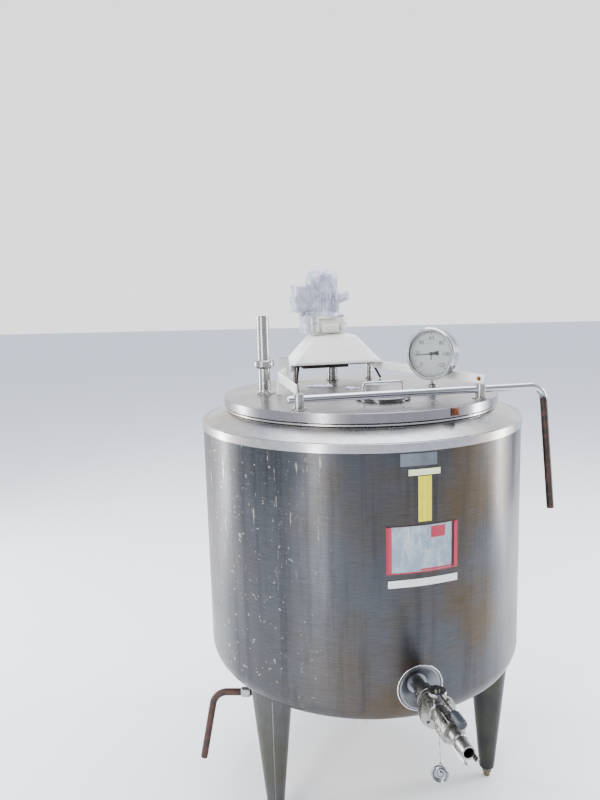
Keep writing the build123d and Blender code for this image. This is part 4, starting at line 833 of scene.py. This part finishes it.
class TANK_OT_dial(bpy.types.Operator):
    """Makes the thermometer's scale marks and thin ring, its numbers and its pointer's key."""
    bl_idname = "tank.dial"
    bl_label = "Thermometer"

    def execute(self, context):
        ink = finish("pointer paint")
        face = reach("thermo_dial", DIAL_OUT) - DIAL.dot(DIAL_OUT)
        centre = DIAL + DIAL_OUT * face
        marks = []
        for step in range(61):
            turn = math.radians(225 - 270 * step / 60)
            out = DIAL_RIGHT * math.cos(turn) + UP * math.sin(turn)
            long, wide = (0.0085, 0.0016) if step % 10 == 0 else (0.0065, 0.0011) if step % 5 == 0 else (0.004, 0.0006)
            place = Matrix((out.cross(DIAL_OUT), out, -DIAL_OUT)).transposed().to_4x4()
            spot = Matrix.Translation(centre + out * (0.0655 - long / 2) + DIAL_OUT * 0.0002)
            mark = bmesh.new()
            bmesh.ops.create_cube(mark, size=1.0, matrix=spot @ place @ Matrix.Diagonal((wide, long, 0.0003, 1)))
            marks.append(mark)
        ring = lathe(((66.4, 0.1), (66.9, 0.1), (66.9, 0.4), (66.4, 0.4), (66.4, 0.1)), centre, DIAL_OUT)
        piece("dial_scale", joined(*marks, ring), "lid", ink)
        upright = Matrix((DIAL_RIGHT, UP, DIAL_OUT)).transposed().to_4x4()
        whole = bmesh.new()
        for number in range(0, 121, 20):
            turn = math.radians(225 - 270 * number / 120)
            words = bpy.data.curves.new(f"number_{number}", "FONT")
            words.body = str(number)
            words.size = 0.0165
            words.align_x, words.align_y = "CENTER", "CENTER"
            words.extrude = 0.0001
            holder = bpy.data.objects.new(f"number_{number}", words)
            context.scene.collection.objects.link(holder)
            context.view_layer.update()
            shape = bpy.data.meshes.new_from_object(holder)
            bpy.data.objects.remove(holder)
            spot = centre + (DIAL_RIGHT * math.cos(turn) + UP * math.sin(turn)) * 0.047 + DIAL_OUT * 0.0003
            shape.transform(Matrix.Translation(spot) @ upright)
            whole.from_mesh(shape)
            bpy.data.meshes.remove(shape)
        piece("dial_numbers", whole, "lid", ink)
        hub = lathe(((0, 9.6), (3.4, 9.4), (4.6, 8.4), (4.8, 7.2), (0, 7.2)),
                    DIAL + DIAL_OUT * (face - 0.005), DIAL_OUT, 32)
        stalk = block((0.0030, 0.016, 0.0010), Matrix.Translation(
            centre + DIAL_OUT * 0.0028 - UP * 0.011) @ upright, 0.0004)
        piece("pointer_key", joined(hub, stalk), "pointer", ink)
        return {"FINISHED"}


class TANK_OT_labels(bpy.types.Operator):
    """Makes the blank labels, the tape, the glue marks and the document holder's torn strips."""
    bl_idname = "tank.labels"
    bl_label = "Labels"

    def execute(self, context):
        sizes = context.scene.tank_sizes

        def over(x):
            """The azimuth of a place on the front of the shell, from its x in metres."""
            return math.degrees(math.asin(x / SHELL_RADIUS)) - 90

        piece("glue_smudge", patch(over(0.150), 0.100, 1.152, 0.033, 0.0003, 0.0002), "tank",
              finish("glue residue"))
        piece("small_label", patch(over(0.165), sizes.label_width, 1.127, sizes.label_height, 0.0004, 0.0003),
              "tank", finish("label paper"))
        piece("upright_tape", patch(over(0.1655), sizes.tape_width, 1.004, sizes.tape_height, 0.0005, 0.0004),
              "tank", finish("ribbed tape"))
        piece("blank_strip", patch(over(0.163), sizes.strip_width, 0.830, sizes.strip_height, 0.0005, 0.0004,
                                   0.0022), "tank", finish("strip paper"))
        low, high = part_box("holder_pocket")[0].z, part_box("holder_pocket")[1].z
        for name, azimuth, width, start, tall in (
                ("red_edge_left", -81.6, 0.010, low, high - low),
                ("red_edge_right", -60.4, 0.009, low, high - low),
                ("red_torn_corner", -66.5, 0.040, high - 0.034, 0.030),
                ("red_foot_strip", -67.0, 0.090, low + 0.001, 0.005)):
            piece(name, patch(azimuth, width, start, tall, 0.0040, 0.0003), "tank",
                  finish("backing vinyl"))
        # painted shade: a thin black strip stands for the shade in the pocket's fold along its right edge
        piece("pocket_fold_shade_strip", patch(-61.6, 0.004, low, high - low, 0.0043, 0.0003), "tank",
              finish("black gasket"))
        return {"FINISHED"}


class TANK_OT_welds(bpy.types.Operator):
    """Makes the weld beads on the lid, round the dished outlet and down the legs."""
    bl_idname = "tank.welds"
    bl_label = "Welds and seams"

    def execute(self, context):
        width = context.scene.tank_sizes.weld_width
        steel = finish("weld steel")
        left_lug = Vector(JOINTS["bar_swing"]["pos_m"])
        fill = Vector(MOUNTS["fill_mouth"]["pos_m"])
        spots = [(left_lug, 22), (left_lug + BAR_ALONG * 1.25 * LID_RADIUS, 22), (fill, 33), (DIAL, 18),
                 (SHAFT, 23), (SHAFT + BAR_ALONG * 0.138, 14), (SHAFT - BAR_ALONG * 0.138, 14)]
        rings = [weld(Vector((spot.x, spot.y, LID_TOP)), radius * MM, width, UP, seed)
                 for seed, (spot, radius) in enumerate(spots)]
        piece("lid_welds", joined(*rings), "lid", steel, sharp=180)
        rim = weld(OUTLET * SHELL_RADIUS + UP * SPINDLE.z, 0.064, width * 0.7, OUTLET, 9)
        for vert in rim.verts:
            side = vert.co.dot(OUTLET_SIDE)
            vert.co += OUTLET * (math.sqrt(SHELL_RADIUS ** 2 - side ** 2) - SHELL_RADIUS)
        piece("outlet_weld", rim, "tank", finish("bright wire steel"), sharp=180)
        seams = []
        for name, azimuth in LEG_AZIMUTHS.items():
            low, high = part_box(name)
            foot = (low + high) / 2
            axis = polar(azimuth, SHELL_RADIUS - 0.086)
            turn = polar(azimuth + 48, 1.0)
            seams.append(rod(axis + turn * 0.0245 + UP * (low.z + 0.012),
                             axis + turn * 0.0610 + UP * (SHELL_LOW - 0.002), 0.0011, 12))
        piece("leg_seams", joined(*seams), "tank", steel)
        return {"FINISHED"}


class TANK_OT_fittings(bpy.types.Operator):
    """Makes the valve's gasket and bands, the lid's catch and the feet's lock nuts."""
    bl_idname = "tank.fittings"
    bl_label = "Small fittings"

    def execute(self, context):
        gasket = lathe(((45.5, -1.2), (47.6, -1.2), (48.2, 0), (47.6, 1.2), (45.5, 1.2), (45.5, -1.2)),
                       SPINDLE, OUTLET)
        bmesh.ops.bisect_plane(gasket, geom=gasket.verts[:] + gasket.edges[:] + gasket.faces[:],
                               plane_co=SPINDLE + UP * 0.0435, plane_no=UP, clear_outer=True)
        bmesh.ops.holes_fill(gasket, edges=[edge for edge in gasket.edges if edge.is_boundary], sides=0)
        piece("flange_gasket", gasket, "tank", finish("black gasket"))
        bands = [lathe(((29.0, at - 3), (31.8, at - 3), (32.6, at - 1.5), (32.6, at + 1.5), (31.8, at + 3),
                        (29.0, at + 3), (29.0, at - 3)), SPINDLE, OUTLET) for at in (-38, -50)]
        piece("valve_bands", joined(*bands), "tank", finish("fitting steel"))
        catch_turn = -53.0
        out = polar(catch_turn, 1.0)
        place = Matrix((Vector((-out.y, out.x, 0)), UP, out)).transposed().to_4x4()
        spot = polar(catch_turn, LID_RADIUS + 0.0015, LID_TOP - 0.012)
        plate = block((0.030, 0.022, 0.003), Matrix.Translation(spot) @ place, 0.0008)
        loop = block((0.016, 0.010, 0.008), Matrix.Translation(spot + out * 0.004 - UP * 0.002) @ place, 0.002)
        hook = rod(spot + out * 0.006 + UP * 0.008, spot + out * 0.011 - UP * 0.010, 0.002, 12)
        piece("lid_catch", joined(plate, loop, hook), "lid", finish("rusted catch iron"))
        nuts = []
        for azimuth in LEG_AZIMUTHS.values():
            spot = polar(azimuth, SHELL_RADIUS - 0.086, 0.017)
            nuts.append(hexagon(facing(spot, UP), 0.0165, 0.009))
        piece("foot_nuts", joined(*nuts), "tank", finish("foot steel"))
        return {"FINISHED"}


class TANK_PT_panel(bpy.types.Panel):
    """Sidebar panel with every step."""
    bl_idname = "TANK_PT_panel"
    bl_label = "Milk tank"
    bl_space_type = "VIEW_3D"
    bl_region_type = "UI"
    bl_category = "Tank"

    def draw(self, context):
        for operator in OPERATORS:
            self.layout.operator(operator.bl_idname)


OPERATORS = (TANK_OT_finishes, TANK_OT_stage, TANK_OT_string, TANK_OT_drive, TANK_OT_film, TANK_OT_dial,
             TANK_OT_labels, TANK_OT_welds, TANK_OT_fittings)
CLASSES = (TankFinish, TankSizes, *OPERATORS, TANK_PT_panel)


def register():
    for made in CLASSES:
        bpy.utils.register_class(made)
    bpy.types.Scene.tank_finish = bpy.props.PointerProperty(type=TankFinish)
    bpy.types.Scene.tank_sizes = bpy.props.PointerProperty(type=TankSizes)


def unregister():
    del bpy.types.Scene.tank_sizes
    del bpy.types.Scene.tank_finish
    for made in reversed(CLASSES):
        bpy.utils.unregister_class(made)


def main():
    """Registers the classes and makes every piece."""
    register()
    for operator in OPERATORS:
        group, name = operator.bl_idname.split(".")
        getattr(getattr(bpy.ops, group), name)()


if __name__ == "__main__":
    main()
